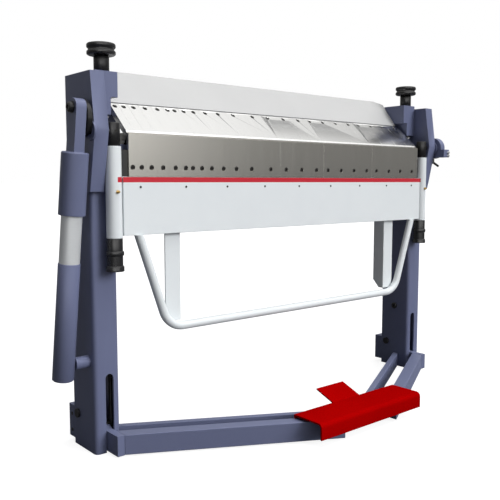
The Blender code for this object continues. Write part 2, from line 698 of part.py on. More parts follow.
def add_treadle_bars(treadle):
    """The two slanting bars that carry the pedal, and the bar across their front ends."""
    lean = math.hypot(1.0, TREADLE_SLOPE)
    start = ARM_X - ARM_THICKNESS / 2 - GAP
    rear_end = CROSSBAR_HALF + GAP
    for side in (-1, 1):
        outline = []
        for x, offset in ((start, 0.0), (start, TREADLE_BAR_WIDTH), (rear_end, TREADLE_BAR_WIDTH), (rear_end, 0.0)):
            front = ARM_FRONT - TREADLE_SLOPE * (start - x)
            outline.append((x, front + offset * lean))
        shape = spread(mirrored(outline, side), "Z", ARM_BOTTOM, ARM_BOTTOM + ARM_HEIGHT)
        add_piece(side_name("treadle_bar", side), shape, BLUE, treadle)
    shape = box((-CROSSBAR_HALF, CROSSBAR_FRONT, CROSSBAR_BOTTOM),
                (CROSSBAR_HALF, CROSSBAR_FRONT + TREADLE_BAR_WIDTH * lean, ARM_BOTTOM + ARM_HEIGHT))
    add_piece("treadle_crossbar", shape, BLUE, treadle)


def add_pedal(treadle):
    """A folded step with a front flange, and the flap that a toe lifts."""
    top, sheet, bend = PEDAL_TOP, PEDAL_SHEET, PEDAL_BEND
    front, rear = PEDAL_FRONT, PEDAL_REAR
    lip = ARM_BOTTOM + ARM_HEIGHT + GAP
    outline = [(rear, lip), (rear, top)]
    outline += arc((front + bend, top - bend), bend, 90, 180, 4)
    outline += [(front, PEDAL_FLANGE_BOTTOM), (front + sheet, PEDAL_FLANGE_BOTTOM)]
    outline += arc((front + bend, top - bend), bend - sheet, 180, 90, 3)
    outline += [(rear - sheet, top - sheet), (rear - sheet, lip)]
    pedal = add_piece("pedal", spread(outline, "X", -PEDAL_HALF, PEDAL_HALF), RED, treadle)
    foot = Vector((rear - sheet * 0.2, top - sheet * 0.9))
    end = foot + Vector((TAB_REACH, TAB_RISE))
    lift = Vector((0, sheet * 0.8))
    flap = [tuple(foot), tuple(end), tuple(end + lift), tuple(foot + lift)]
    combine(pedal, spread(flap, "X", TAB_LEFT, TAB_RIGHT), "UNION")


def add_hinge_blocks(carrier):
    """Blocks that turn on the cheeks' pins, each with the rod that the leaf is clamped on."""
    for side in (-1, 1):
        foot = (side * TUBE_X, TUBE_Y, LEAF_ROD_BOTTOM)
        seat = TUBE_TOP + CLEARANCE - LEAF_ROD_BOTTOM
        height = CAP_TOP - LEAF_ROD_BOTTOM
        profile = [(0, 0), (LEAF_ROD_RADIUS, 0), (LEAF_ROD_RADIUS, seat), (CAP_RADIUS, seat)]
        profile += [(CAP_RADIUS, height - 0.003), (CAP_RADIUS - 0.003, height), (0, height)]
        block = add_piece(side_name("hinge_block", side), turned(profile, foot, (0, 0, 1)), BLACK, carrier, True)
        reach = CHEEK_OUTER + BOSS_LENGTH + CLEARANCE
        if side > 0:
            reach += STOP_THICKNESS + 0.004
        pin = rod(HINGE_PIN_RADIUS, (side * TUBE_X, AXIS_Y, FOLD_HEIGHT), (side * reach, AXIS_Y, FOLD_HEIGHT))
        combine(block, pin, "UNION")


def add_crank_disc(carrier):
    x = CHEEK_OUTER + BOSS_LENGTH + CLEARANCE + GAP
    centre = (AXIS_Y + DISC_OFFSET_Y, FOLD_HEIGHT + DISC_OFFSET_Z)
    shape = rod(DISC_RADIUS, (-x, *centre), (-(x + DISC_THICKNESS - BOSS_LENGTH), *centre), 40)
    add_piece("crank_disc", shape, BLACK, carrier, smooth=True)


def add_leaf(leaf):
    back = LEAF_BACKING + AXIS_Y + GAP
    face = AXIS_Y + GAP
    outline = [(0.0, LEAF_BOTTOM), (LEAF_SHEET + LEAF_FLANGE, LEAF_BOTTOM)]
    outline += [(LEAF_SHEET + LEAF_FLANGE, LEAF_BOTTOM + 0.008), (LEAF_SHEET, LEAF_BOTTOM + 0.008)]
    outline += [(LEAF_SHEET, LEAF_FACE_TOP - 0.030), (back, LEAF_FACE_TOP - 0.020), (back, LEAF_BACKING_TOP)]
    outline += [(face, LEAF_BACKING_TOP), (face, LEAF_FACE_TOP), (0.0, LEAF_FACE_TOP)]
    add_piece("leaf_beam", spread(outline, "X", -LEAF_HALF, LEAF_HALF), WHITE, leaf)
    blade = [(0.0, LEAF_FACE_TOP + GAP), (AXIS_Y - GAP, LEAF_FACE_TOP + GAP)]
    top = FOLD_HEIGHT - SEGMENT_TOP_DROP
    blade += [(AXIS_Y - GAP, top), (0.001, top), (0.0, top - 0.001)]
    half = HALF_WIDTH - SEGMENT_GAP / 2
    add_piece("leaf_blade", spread(blade, "X", -half, half), STEEL, leaf)


def add_leaf_tubes(leaf):
    for side in (-1, 1):
        x, y = side * TUBE_X, TUBE_Y
        shape = tube(TUBE_RADIUS, TUBE_BORE, (x, y, TUBE_BOTTOM), (x, y, TUBE_TOP))
        add_piece(side_name("leaf_tube", side), shape, WHITE, leaf, smooth=True)


def add_leaf_nuts(bodies):
    """The knurled nuts under the leaf's tubes, which set the leaf's height."""
    for side in (-1, 1):
        height = TUBE_BOTTOM - GAP - NUT_BOTTOM
        bore = LEAF_ROD_RADIUS + 0.0006
        profile = [(bore, 0), (NUT_COLLAR, 0), (NUT_COLLAR, height * 0.16), (NUT_RADIUS, height * 0.20)]
        profile += [(NUT_RADIUS, height * 0.46), (NUT_COLLAR, height * 0.50), (NUT_COLLAR, height * 0.60)]
        profile += [(NUT_RADIUS, height * 0.64), (NUT_RADIUS, height), (bore, height)]
        name = side_name("height_nut", side)
        shape = turned(profile, (side * TUBE_X, TUBE_Y, NUT_BOTTOM), (0, 0, 1), 28)
        add_piece(name, shape, BLACK, bodies[name], smooth=True)


def add_handle_legs(leaf):
    """Angles below the leaf, each with its flange toward the machine's middle, that hold the handle."""
    for side in (-1, 1):
        half, sheet = LEG_WIDTH / 2, LEG_SHEET
        low, high = LEG_X - half, LEG_X + half
        front, back = LEG_FRONT, LEG_FRONT + LEG_DEPTH
        outline = [(low, front), (high, front), (high, front + sheet)]
        outline += [(low + sheet, front + sheet), (low + sheet, back), (low, back)]
        shape = spread(mirrored(outline, side), "Z", LEG_BOTTOM, LEAF_BOTTOM - GAP)
        leg = add_piece(side_name("handle_leg", side), shape, WHITE, leaf)
        cut = [(front + 0.012, LEG_BOTTOM - 0.01), (back + 0.01, LEG_BOTTOM - 0.01)]
        cut += [(back + 0.01, LEG_BOTTOM + LEG_CHAMFER + 0.010)]
        combine(leg, spread(cut, "X", side * (low - 0.01), side * (high + 0.01)))


def handle_route():
    """The handle's centre line: two leaning sides joined by round corners to a level grip."""
    top = Vector((HANDLE_TOP_X, LEAF_BOTTOM - HANDLE_RADIUS * 0.4 - GAP))
    corner = Vector((HANDLE_CORNER_X, HANDLE_Z))
    lean = math.atan2(top.y - corner.y, top.x - corner.x)
    centre = (corner.x - HANDLE_BEND * math.tan(lean / 2), HANDLE_Z + HANDLE_BEND)
    right = arc(centre, HANDLE_BEND, math.degrees(lean) - 90.0, -90.0, 6)
    points = [tuple(top)] + right
    return points + [(-x, z) for x, z in reversed(points)]


def add_handle(leaf):
    curve = bpy.data.curves.new("pull_handle", "CURVE")
    curve.dimensions = "3D"
    curve.bevel_depth = HANDLE_RADIUS
    curve.bevel_resolution = 3
    curve.use_fill_caps = True
    spline = curve.splines.new("POLY")
    route = handle_route()
    spline.points.add(len(route) - 1)
    base = world_place(leaf)
    for point, (x, z) in zip(spline.points, route):
        point.co = (*(Vector((x, HANDLE_Y, z)) - base), 1.0)
    curve.materials.append(material(WHITE))
    handle = bpy.data.objects.new("pull_handle", curve)
    handle.parent = leaf
    bpy.context.scene.collection.objects.link(handle)


def strut_point(distance):
    """A point on the strut's centre line, measured down from the crank pin."""
    top, foot = Vector(STRUT_TOP), Vector(STRUT_FOOT)
    return top + (foot - top).normalized() * distance


def add_strut(lower, upper):
    length = (Vector(STRUT_TOP) - Vector(STRUT_FOOT)).length
    down = (Vector(STRUT_FOOT) - Vector(STRUT_TOP)).normalized()
    bore, outer = STRUT_SLEEVE_BORE, STRUT_SLEEVE_RADIUS
    depth = STRUT_SLEEVE_LENGTH
    profile = [(0, 0), (outer - 0.003, 0), (outer, 0.003), (outer, depth), (bore, depth), (bore, 0.012), (0, 0.012)]
    sleeve = turned(profile, strut_point(STRUT_SLEEVE_TOP), down, 28)
    top = add_piece("strut_sleeve", sleeve, BLUE, upper, smooth=True)
    half_w, half_d = STRUT_LINK_WIDTH / 2, STRUT_LINK_DEPTH / 2
    link = [(-half_d, -STRUT_SLEEVE_TOP - 0.006), (half_d, -STRUT_SLEEVE_TOP - 0.006)]
    link += arc((0.0, 0.0), half_d, 0, 180, 8)
    shape = spread(link, "X", -half_w, half_w)
    lean = Vector((0, 0, -1)).rotation_difference(down).to_matrix().to_4x4()
    shape.transform(Matrix.Translation(Vector(STRUT_TOP)) @ lean)
    combine(top, shape, "UNION")
    tube_top = STRUT_TUBE_TOP
    radius, wall = STRUT_TUBE_RADIUS, STRUT_ROD_RADIUS
    hidden = STRUT_SLEEVE_TOP + depth - 0.030
    profile = [(0, hidden), (wall, hidden), (wall, tube_top), (radius, tube_top)]
    profile += [(radius, length + STRUT_TAIL), (0, length + STRUT_TAIL)]
    shape = turned(profile, STRUT_TOP, down, 28)
    add_piece("strut_tube", shape, BLUE, lower, smooth=True)


def add_angle_stop(ring, lever):
    """A split collar on the right end of the folding axis, with lugs and a clamping lever."""
    x0 = CHEEK_OUTER + BOSS_LENGTH + GAP + CLEARANCE
    x1 = x0 + STOP_THICKNESS
    shape = tube(STOP_RADIUS, STOP_BORE, (x0, AXIS_Y, FOLD_HEIGHT), (x1, AXIS_Y, FOLD_HEIGHT), 32)
    collar = add_piece("stop_collar", shape, BLUE, ring, smooth=True)
    lug = box((x0, AXIS_Y - STOP_RADIUS - STOP_LUG * 0.5, FOLD_HEIGHT - STOP_RADIUS + 0.004),
              (x1 + 0.008, AXIS_Y - STOP_BORE - 0.010, FOLD_HEIGHT - 0.006))
    combine(collar, lug, "UNION")
    top = FOLD_HEIGHT - STOP_RADIUS - GAP
    centre = (x0 + STOP_THICKNESS / 2, AXIS_Y + LEVER_OFFSET)
    stem = rod(LEVER_RADIUS, (*centre, top - 0.020), (*centre, top), 14)
    handle = add_piece("stop_lever", stem, BLACK, lever, smooth=True)
    low = Vector((*centre, top - 0.014))
    tip = low + Vector((0.82, -0.28, -0.50)).normalized() * LEVER_LENGTH
    combine(handle, rod(LEVER_RADIUS * 0.8, low, tip, 12), "UNION")


def centre_on_floor(machine):
    """Moves the machine so that its box is centred over the origin."""
    bpy.context.view_layer.update()
    graph = bpy.context.evaluated_depsgraph_get()
    low, high = Vector((9, 9, 9)), Vector((-9, -9, -9))
    for obj in bpy.context.scene.objects:
        if obj.type == "EMPTY" or obj.hide_render:
            continue
        evaluated = obj.evaluated_get(graph)
        mesh = evaluated.to_mesh()
        for vertex in mesh.vertices:
            place = evaluated.matrix_world @ vertex.co
            low = Vector(map(min, low, place))
            high = Vector(map(max, high, place))
        evaluated.to_mesh_clear()
    machine.location = (-(low.x + high.x) / 2, -(low.y + high.y) / 2, -low.z)


def main():
    clear_scene()
    frame = joint_empty("frame")
    clamp = joint_empty("clamp_body", (0, 0, FOLD_HEIGHT), frame)
    treadle = joint_empty("treadle_body", (0, TREADLE_Y, TREADLE_Z), frame)
    carrier = joint_empty("leaf_carrier_body", (0, AXIS_Y, FOLD_HEIGHT), frame)
    leaf = joint_empty("leaf_body", (0, TUBE_Y, TUBE_BOTTOM), carrier)
    strut_lower = joint_empty("strut_foot_body", STRUT_FOOT, frame)
    strut_upper = joint_empty("strut_sleeve_body", STRUT_TOP, strut_lower)
    stop = joint_empty("stop_body", (CHEEK_OUTER, AXIS_Y, FOLD_HEIGHT), frame)
    lever_place = (CHEEK_OUTER + BOSS_LENGTH + GAP + CLEARANCE + STOP_THICKNESS / 2,
                   AXIS_Y + LEVER_OFFSET, FOLD_HEIGHT - STOP_RADIUS)
    lever = joint_empty("stop_lever_body", lever_place, stop)
    turning = {}
    for side in (-1, 1):
        name = side_name("knob", side)
        turning[name] = joint_empty(f"{name}_body", (side * KNOB_X, KNOB_Y, KNOB_BOTTOM), clamp)
        name = side_name("height_nut", side)
        turning[name] = joint_empty(f"{name}_body", (side * TUBE_X, TUBE_Y, NUT_BOTTOM), leaf)
    add_columns(frame)
    add_rear_blocks(frame)
    add_cheeks(frame)
    add_bed(frame)
    add_floor_brace(frame)
    add_treadle_pivots(frame)
    add_lift_springs(frame)
    add_fingers(clamp)
    add_clamp_beam(clamp)
    add_beam_brackets(clamp)
    add_pressure_screws(clamp)
    add_pull_rods(clamp)
    add_knobs(turning)
    add_treadle_arms(treadle)
    add_treadle_bars(treadle)
    add_pedal(treadle)
    add_hinge_blocks(carrier)
    add_crank_disc(carrier)
    add_leaf(leaf)
    add_leaf_tubes(leaf)
    add_leaf_nuts(turning)
    add_handle_legs(leaf)
    add_handle(leaf)
    add_strut(strut_lower, strut_upper)
    add_angle_stop(stop, lever)
    centre_on_floor(frame)


main()
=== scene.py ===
"""Finishes, fine parts, floor, lights and camera for a foot-clamped box and pan brake.

Every size below is in metres. Places are given from the machine's own datum: the middle of
the folding line for X, the leaf's front face for Y and the floor for Z.
"""

import logging
import math
from collections.abc import Callable, Sequence
from dataclasses import dataclass, replace
from enum import Enum

import bpy
from mathutils import Matrix, Vector


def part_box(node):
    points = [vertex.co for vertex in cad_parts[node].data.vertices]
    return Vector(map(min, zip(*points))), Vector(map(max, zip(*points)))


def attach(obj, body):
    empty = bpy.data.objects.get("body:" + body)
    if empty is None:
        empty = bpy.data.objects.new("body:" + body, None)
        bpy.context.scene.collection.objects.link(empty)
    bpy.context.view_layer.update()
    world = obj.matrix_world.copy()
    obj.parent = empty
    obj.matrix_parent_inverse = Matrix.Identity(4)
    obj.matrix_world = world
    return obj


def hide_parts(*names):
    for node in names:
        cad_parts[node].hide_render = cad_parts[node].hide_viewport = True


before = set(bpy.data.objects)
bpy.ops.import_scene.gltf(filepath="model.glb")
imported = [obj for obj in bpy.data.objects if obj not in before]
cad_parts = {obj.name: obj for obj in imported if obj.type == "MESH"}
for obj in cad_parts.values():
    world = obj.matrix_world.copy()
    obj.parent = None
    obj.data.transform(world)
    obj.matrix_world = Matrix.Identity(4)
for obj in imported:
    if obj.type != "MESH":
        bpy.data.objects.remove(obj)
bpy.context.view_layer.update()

LOG = logging.getLogger("brake")

Colour = tuple[float, float, float]
Place = tuple[float, float, float]
Profile = Sequence[tuple[float, float]]
Piece = bpy.types.Object
Node = bpy.types.Node
Socket = bpy.types.NodeSocket
Tree = bpy.types.NodeTree


class Body(Enum):
    """The rigid bodies that pieces ride on."""

    FRAME = "frame"
    CLAMP = "clamp"
    KNOB_LEFT = "knob_left"
    KNOB_RIGHT = "knob_right"
    TREADLE = "treadle"
    CARRIER = "leaf_carrier"
    LEAF = "leaf"
    NUT_LEFT = "height_nut_left"
    NUT_RIGHT = "height_nut_right"
    STRUT_FOOT = "strut_foot"
    STRUT_HEAD = "strut_head"
    STOP = "angle_stop"
    LEVER = "stop_lever"


class Slot(Enum):
    """The material slots."""

    FRAME = "frame_paint"
    PANEL = "panel_paint"
    LEAF = "leaf_paint"
    BLADE = "blade_steel"
    GROUND = "ground_steel"
    BLACK = "black_steel"
    PEDAL = "pedal_paint"
    ZINC = "zinc_plate"


class Side(Enum):
    """The operator's left or right end of the machine."""

    LEFT = -1
    RIGHT = 1

    def label(self, base: str) -> str:
        """The node name of a piece that comes in pairs."""
        return f"{base}_{self.name.lower()}"


@dataclass(frozen=True)
class Datum:
    """Turns machine places into places of the shared frame."""

    x: float
    y: float

    @classmethod
    def of_machine(cls) -> "Datum":
        """Reads the datum from the bed blade and the leaf's blade."""
        low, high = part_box("bed_blade")
        front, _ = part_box("leaf_blade")
        return cls((low.x + high.x) / 2, front.y)

    def at(self, x: float, y: float, z: float) -> Vector:
        """A machine place in the shared frame."""
        return Vector((x + self.x, y + self.y, z))


DATUM = Datum.of_machine()
UP = Vector((0.0, 0.0, 1.0))
FRONT = Vector((0.0, -1.0, 0.0))
LEFTWARD = Vector((-1.0, 0.0, 0.0))


# materials


@dataclass
class Wiring:
    """Adds and joins the nodes of one node tree."""

    tree: Tree

    def add(self, kind: str, **values: object) -> Node:
        """Adds a node.

        Args:
            kind: The node's Blender type.
            **values: Settings of the node; i0, i1 and so on set or link the input of that number.

        Returns:
            The new node.
        """
        node = self.tree.nodes.new(kind)
        for name, value in values.items():
            if name[0] == "i" and name[1:].isdigit():
                self.feed(node.inputs[int(name[1:])], value)
            else:
                setattr(node, name, value)
        return node

    def feed(self, socket: Socket, value: object) -> None:
        """Links another node's output to a socket, or sets the socket's value."""
        if isinstance(value, Socket):
            self.tree.links.new(value, socket)
        else:
            socket.default_value = value

    def mix(self, share: object, first: object, second: object) -> Socket:
        """A colour between two colours."""
        node = self.add("ShaderNodeMix", data_type="RGBA")
        self.feed(node.inputs[0], share)
        self.feed(node.inputs[6], first)
        self.feed(node.inputs[7], second)
        return node.outputs[2]

    def math(self, operation: str, first: object, second: object = 0.0) -> Socket:
        """The result of a sum on two values."""
        return self.add("ShaderNodeMath", operation=operation, i0=first, i1=second).outputs[0]

    def spread(self, value: object, low: float, high: float, start: float, end: float) -> Socket:
        """Maps a value from one range to another, held at the ends."""
        node = self.add("ShaderNodeMapRange", i0=value, i1=low, i2=high, i3=start, i4=end)
        return node.outputs[0]


def in_scene(item: Piece) -> None:
    """Puts an object in the scene."""
    bpy.context.scene.collection.objects.link(item)


def rgba(colour: Colour) -> tuple[float, float, float, float]:
    """The colour with full cover."""
    return (*colour, 1.0)


@dataclass(frozen=True)
class EffectGroup:
    """A node group that is built once and shared by the finishes."""

    name: str
    inputs: tuple[tuple[str, float], ...]
    outputs: tuple[tuple[str, str], ...]
    wire: Callable[[Wiring, Node, Node], None]

    def tree(self) -> Tree:
        """The group's node tree, made at its first use."""
        found = bpy.data.node_groups.get(self.name)
        if found:
            return found
        tree = bpy.data.node_groups.new(self.name, "ShaderNodeTree")
        for name, value in self.inputs:
            socket = tree.interface.new_socket(name, in_out="INPUT", socket_type="NodeSocketFloat")
            socket.default_value = value
        for name, kind in self.outputs:
            tree.interface.new_socket(name, in_out="OUTPUT", socket_type=kind)
        wiring = Wiring(tree)
        self.wire(wiring, wiring.add("NodeGroupInput"), wiring.add("NodeGroupOutput"))
        return tree

    def place(self, wiring: Wiring, **values: object) -> Node:
        """Puts the group in a material.

        Args:
            wiring: The material's wiring.
            **values: The group's inputs by name.

        Returns:
            The group's node.
        """
        node = wiring.add("ShaderNodeGroup", node_tree=self.tree())
        for name, value in values.items():
            wiring.feed(node.inputs[name], value)
        return node


def wire_edge_wear(w: Wiring, source: Node, result: Node) -> None:
    """Finds the sharp edges and breaks them up with noise."""
    place = w.add("ShaderNodeTexCoord").outputs["Object"]
    bevel = w.add("ShaderNodeBevel", samples=4, i0=source.outputs["Radius"])
    normal = w.add("ShaderNodeNewGeometry").outputs["Normal"]
    alike = w.add("ShaderNodeVectorMath", operation="DOT_PRODUCT", i0=bevel.outputs[0], i1=normal)
    edge = w.spread(alike.outputs["Value"], 0.995, 0.90, 0.0, 1.0)
    noise = w.add("ShaderNodeTexNoise", i0=place, i2=source.outputs["Scale"], i3=4.0, i4=0.6)
    broken = w.spread(noise.outputs[0], 0.42, 0.62, 0.15, 1.0)
    w.feed(result.inputs["Edge"], w.math("MULTIPLY", edge, broken))


def wire_peel(w: Wiring, source: Node, result: Node) -> None:
    """The fine waves of sprayed paint over softly rounded edges."""
    place = w.add("ShaderNodeTexCoord").outputs["Object"]
    bevel = w.add("ShaderNodeBevel", samples=4, i0=source.outputs["Radius"])
    fine = w.add("ShaderNodeTexNoise", i0=place, i2=source.outputs["Scale"], i3=2.0, i4=0.5)
    bump = w.add("ShaderNodeBump", i0=source.outputs["Strength"], i1=0.0006)
    w.feed(bump.inputs["Height"], fine.outputs[0])
    w.feed(bump.inputs["Normal"], bevel.outputs[0])
    w.feed(result.inputs["Normal"], bump.outputs[0])


def wire_brush(w: Wiring, source: Node, result: Node) -> None:
    """Fine parallel scratches from grinding, along X, with a slow change of tone."""
    place = w.add("ShaderNodeTexCoord").outputs["Object"]
    stretch = w.add("ShaderNodeMapping", i0=place)
    across = w.add("ShaderNodeCombineXYZ", i0=source.outputs["Along"], i1=source.outputs["Across"])
    w.feed(across.inputs[2], source.outputs["Rise"])
    w.feed(stretch.inputs[3], across.outputs[0])
    grain = w.add("ShaderNodeTexNoise", i0=stretch.outputs[0], i2=1.0, i3=6.0, i4=0.7)
    slow = w.add("ShaderNodeTexNoise", i0=place, i2=6.0, i3=2.0, i4=0.5)
    bevel = w.add("ShaderNodeBevel", samples=4, i0=0.0006)
    bump = w.add("ShaderNodeBump", i0=source.outputs["Strength"], i1=0.0003)
    w.feed(bump.inputs["Height"], grain.outputs[0])
    w.feed(bump.inputs["Normal"], bevel.outputs[0])
    w.feed(result.inputs["Grain"], grain.outputs[0])
    w.feed(result.inputs["Tone"], slow.outputs[0])
    w.feed(result.inputs["Normal"], bump.outputs[0])


def wire_dust(w: Wiring, source: Node, result: Node) -> None:
    """Broad, faint patches where a surface has been handled or holds dust."""
    place = w.add("ShaderNodeTexCoord").outputs["Object"]
    broad = w.add("ShaderNodeTexNoise", i0=place, i2=source.outputs["Scale"], i3=5.0, i4=0.6)
    normal = w.add("ShaderNodeSeparateXYZ", i0=w.add("ShaderNodeNewGeometry").outputs["Normal"])
    upward = w.spread(normal.outputs[2], 0.3, 1.0, 0.0, 1.0)
    patch = w.spread(broad.outputs[0], 0.35, 0.70, 0.0, 1.0)
    w.feed(result.inputs["Patch"], patch)
    w.feed(result.inputs["Dust"], w.math("MULTIPLY", patch, upward))


EDGE_WEAR = EffectGroup("edge wear", (("Radius", 0.002), ("Scale", 60.0)), (("Edge", "NodeSocketFloat"),),
                        wire_edge_wear)
PEEL = EffectGroup("orange peel", (("Radius", 0.0015), ("Scale", 500.0), ("Strength", 0.12)),
                   (("Normal", "NodeSocketVector"),), wire_peel)
BRUSH = EffectGroup("grinding marks", (("Along", 12.0), ("Across", 900.0), ("Rise", 900.0), ("Strength", 0.2)),
                    (("Grain", "NodeSocketFloat"), ("Tone", "NodeSocketFloat"), ("Normal", "NodeSocketVector")),
                    wire_brush)
DUST = EffectGroup("handling and dust", (("Scale", 5.0),),
                   (("Patch", "NodeSocketFloat"), ("Dust", "NodeSocketFloat")), wire_dust)


DUST_COLOUR = (0.5, 0.49, 0.47)
DIM_DUST_COLOUR = (0.35, 0.34, 0.32)
# Near-black painted shade for the leaf beam's back, where it shows beside the end tubes in place of the shadowed gap
# there.
PAINTED_SHADE_BACK = (0.012, 0.012, 0.014)


@dataclass(frozen=True)
class Finish:
    """What every finish has: a name, and a material made at its first use."""

    name: str

    def material(self) -> bpy.types.Material:
        """The finish's material."""
        found = bpy.data.materials.get(self.name)
        if found:
            return found
        made = bpy.data.materials.new(self.name)
        made.use_nodes = True
        wiring = Wiring(made.node_tree)
        self.wire(wiring, made.node_tree.nodes["Principled BSDF"])
        return made

    def wire(self, wiring: Wiring, shader: Node) -> None:
        """Feeds the shader; each finish has its own way."""
        raise NotImplementedError


@dataclass(frozen=True)
class Paint(Finish):
    """Sprayed machine paint with soft edges, faint dust and worn corners."""

    colour: Colour
    deep: Colour
    worn: Colour
    roughness: float = 0.42
    coat: float = 0.15
    peel: float = 0.12
    wear: float = 0.5
    dust: float = 0.04
    stripe: Colour | None = None
    gloss: float = 0.5
    # Height above which the paint turns near black: painted shade.
    painted_shade_above: float | None = None

    def wire(self, wiring: Wiring, shader: Node) -> None:
        """Mixes the paint's two tones, its dust and its worn edges."""
        dust = DUST.place(wiring)
        edge = EDGE_WEAR.place(wiring).outputs["Edge"]
        tone = wiring.mix(dust.outputs["Patch"], rgba(self.colour), rgba(self.deep))
        tone = wiring.mix(wiring.math("MULTIPLY", dust.outputs["Dust"], self.dust), tone, rgba(DUST_COLOUR))
        tone = wiring.mix(wiring.math("MULTIPLY", edge, self.wear), tone, rgba(self.worn))
        if self.stripe:
            tone = wiring.mix(stripe_mask(wiring), tone, rgba(self.stripe))
        # Painted shade: above the given height the colour turns near black.
        if self.painted_shade_above:
            tone = wiring.mix(above_mask(wiring, self.painted_shade_above), tone, rgba(PAINTED_SHADE_BACK))
        rough = wiring.spread(dust.outputs["Patch"], 0.0, 1.0, self.roughness - 0.05, self.roughness + 0.08)
        wiring.feed(shader.inputs["Base Color"], tone)
        wiring.feed(shader.inputs["Roughness"], rough)
        wiring.feed(shader.inputs["Normal"], PEEL.place(wiring, Strength=self.peel).outputs["Normal"])
        shader.inputs["Specular IOR Level"].default_value = self.gloss
        shader.inputs["Coat Weight"].default_value = self.coat
        shader.inputs["Coat Roughness"].default_value = 0.25


@dataclass(frozen=True)
class Stripe:
    """Where the coloured band lies on the leaf."""

    low: float = 0.7470
    high: float = 0.7612
    left: float = -0.6745
    right: float = 0.6585


def stripe_mask(wiring: Wiring) -> Socket:
    """Where the coloured band covers the leaf's front."""
    band = Stripe()
    place = wiring.add("ShaderNodeTexCoord").outputs["Object"]
    axes = wiring.add("ShaderNodeSeparateXYZ", i0=place)
    facing = wiring.add("ShaderNodeSeparateXYZ", i0=wiring.add("ShaderNodeNewGeometry").outputs["Normal"])
    mask = wiring.math("LESS_THAN", facing.outputs[1], -0.3)
    limits = ((axes.outputs[0], band.left + DATUM.x, band.right + DATUM.x), (axes.outputs[2], band.low, band.high))
    for value, low, high in limits:
        mask = wiring.math("MULTIPLY", mask, wiring.math("GREATER_THAN", value, low))
        mask = wiring.math("MULTIPLY", mask, wiring.math("LESS_THAN", value, high))
    return mask


def above_mask(wiring: Wiring, level: float) -> Socket:
    """Where a piece rises above a level."""
    place = wiring.add("ShaderNodeTexCoord").outputs["Object"]
    axes = wiring.add("ShaderNodeSeparateXYZ", i0=place)
    return wiring.math("GREATER_THAN", axes.outputs[2], level)


@dataclass(frozen=True)
class Steel(Finish):
    """Ground or brushed steel with grinding marks along one axis."""

    colour: Colour
    deep: Colour
    roughness: float = 0.30
    along: float = 12.0
    across: float = 900.0
    rise: float = 900.0
    strength: float = 0.15
    metallic: float = 1.0

    def wire(self, wiring: Wiring, shader: Node) -> None:
        """Mixes the steel's tones along its grinding marks."""
        brush = BRUSH.place(wiring, Along=self.along, Across=self.across, Rise=self.rise, Strength=self.strength)
        streak = wiring.spread(brush.outputs["Grain"], 0.3, 0.7, 0.0, 1.0)
        tone = wiring.mix(streak, rgba(self.deep), rgba(self.colour))
        slow = wiring.spread(brush.outputs["Tone"], 0.35, 0.65, 0.0, 0.35)
        tone = wiring.mix(slow, tone, rgba(self.deep))
        rough = wiring.spread(brush.outputs["Grain"], 0.2, 0.8, self.roughness - 0.02, self.roughness + 0.04)
        wiring.feed(shader.inputs["Base Color"], tone)
        wiring.feed(shader.inputs["Roughness"], rough)
        wiring.feed(shader.inputs["Normal"], brush.outputs["Normal"])
        shader.inputs["Metallic"].default_value = self.metallic


@dataclass(frozen=True)
class Oxide(Finish):
    """Blackened steel or black plastic, rubbed lighter on its edges."""

    colour: Colour
    worn: Colour
    roughness: float = 0.40
    metallic: float = 0.3
    grain: float = 0.15

    def wire(self, wiring: Wiring, shader: Node) -> None:
        """Mixes the dark skin with its rubbed edges."""
        edge = EDGE_WEAR.place(wiring, Radius=0.0012, Scale=140.0).outputs["Edge"]
        dust = DUST.place(wiring, Scale=18.0)
        tone = wiring.mix(wiring.math("MULTIPLY", edge, 0.55), rgba(self.colour), rgba(self.worn))
        tone = wiring.mix(wiring.math("MULTIPLY", dust.outputs["Dust"], 0.06), tone, rgba(DIM_DUST_COLOUR))
        rough = wiring.spread(dust.outputs["Patch"], 0.0, 1.0, self.roughness - 0.06, self.roughness + 0.08)
        wiring.feed(shader.inputs["Base Color"], tone)
        wiring.feed(shader.inputs["Roughness"], rough)
        peel = PEEL.place(wiring, Radius=0.0008, Scale=900.0, Strength=self.grain)
        wiring.feed(shader.inputs["Normal"], peel.outputs["Normal"])
        shader.inputs["Metallic"].default_value = self.metallic


@dataclass(frozen=True)
class Floor(Finish):
    """A plain pale floor."""

    colour: Colour = (0.30, 0.30, 0.30)
    bounce: Colour = (0.12, 0.12, 0.125)
    glow: float = 0.86

    def wire(self, wiring: Wiring, shader: Node) -> None:
        """A matt, almost white surface that throws little light back on the machine."""
        patch = DUST.place(wiring, Scale=2.0).outputs["Patch"]
        pale = rgba(tuple(value * 0.99 for value in self.colour))
        seen = wiring.mix(patch, rgba(self.colour), pale)
        camera_ray = wiring.add("ShaderNodeLightPath").outputs["Is Camera Ray"]
        tone = wiring.mix(camera_ray, rgba(self.bounce), seen)
        wiring.feed(shader.inputs["Base Color"], tone)
        wiring.feed(shader.inputs["Emission Strength"], wiring.math("MULTIPLY", camera_ray, self.glow))
        shader.inputs["Emission Color"].default_value = rgba((1.0, 1.0, 1.0))
        shader.inputs["Roughness"].default_value = 0.9
        shader.inputs["Specular IOR Level"].default_value = 0.0


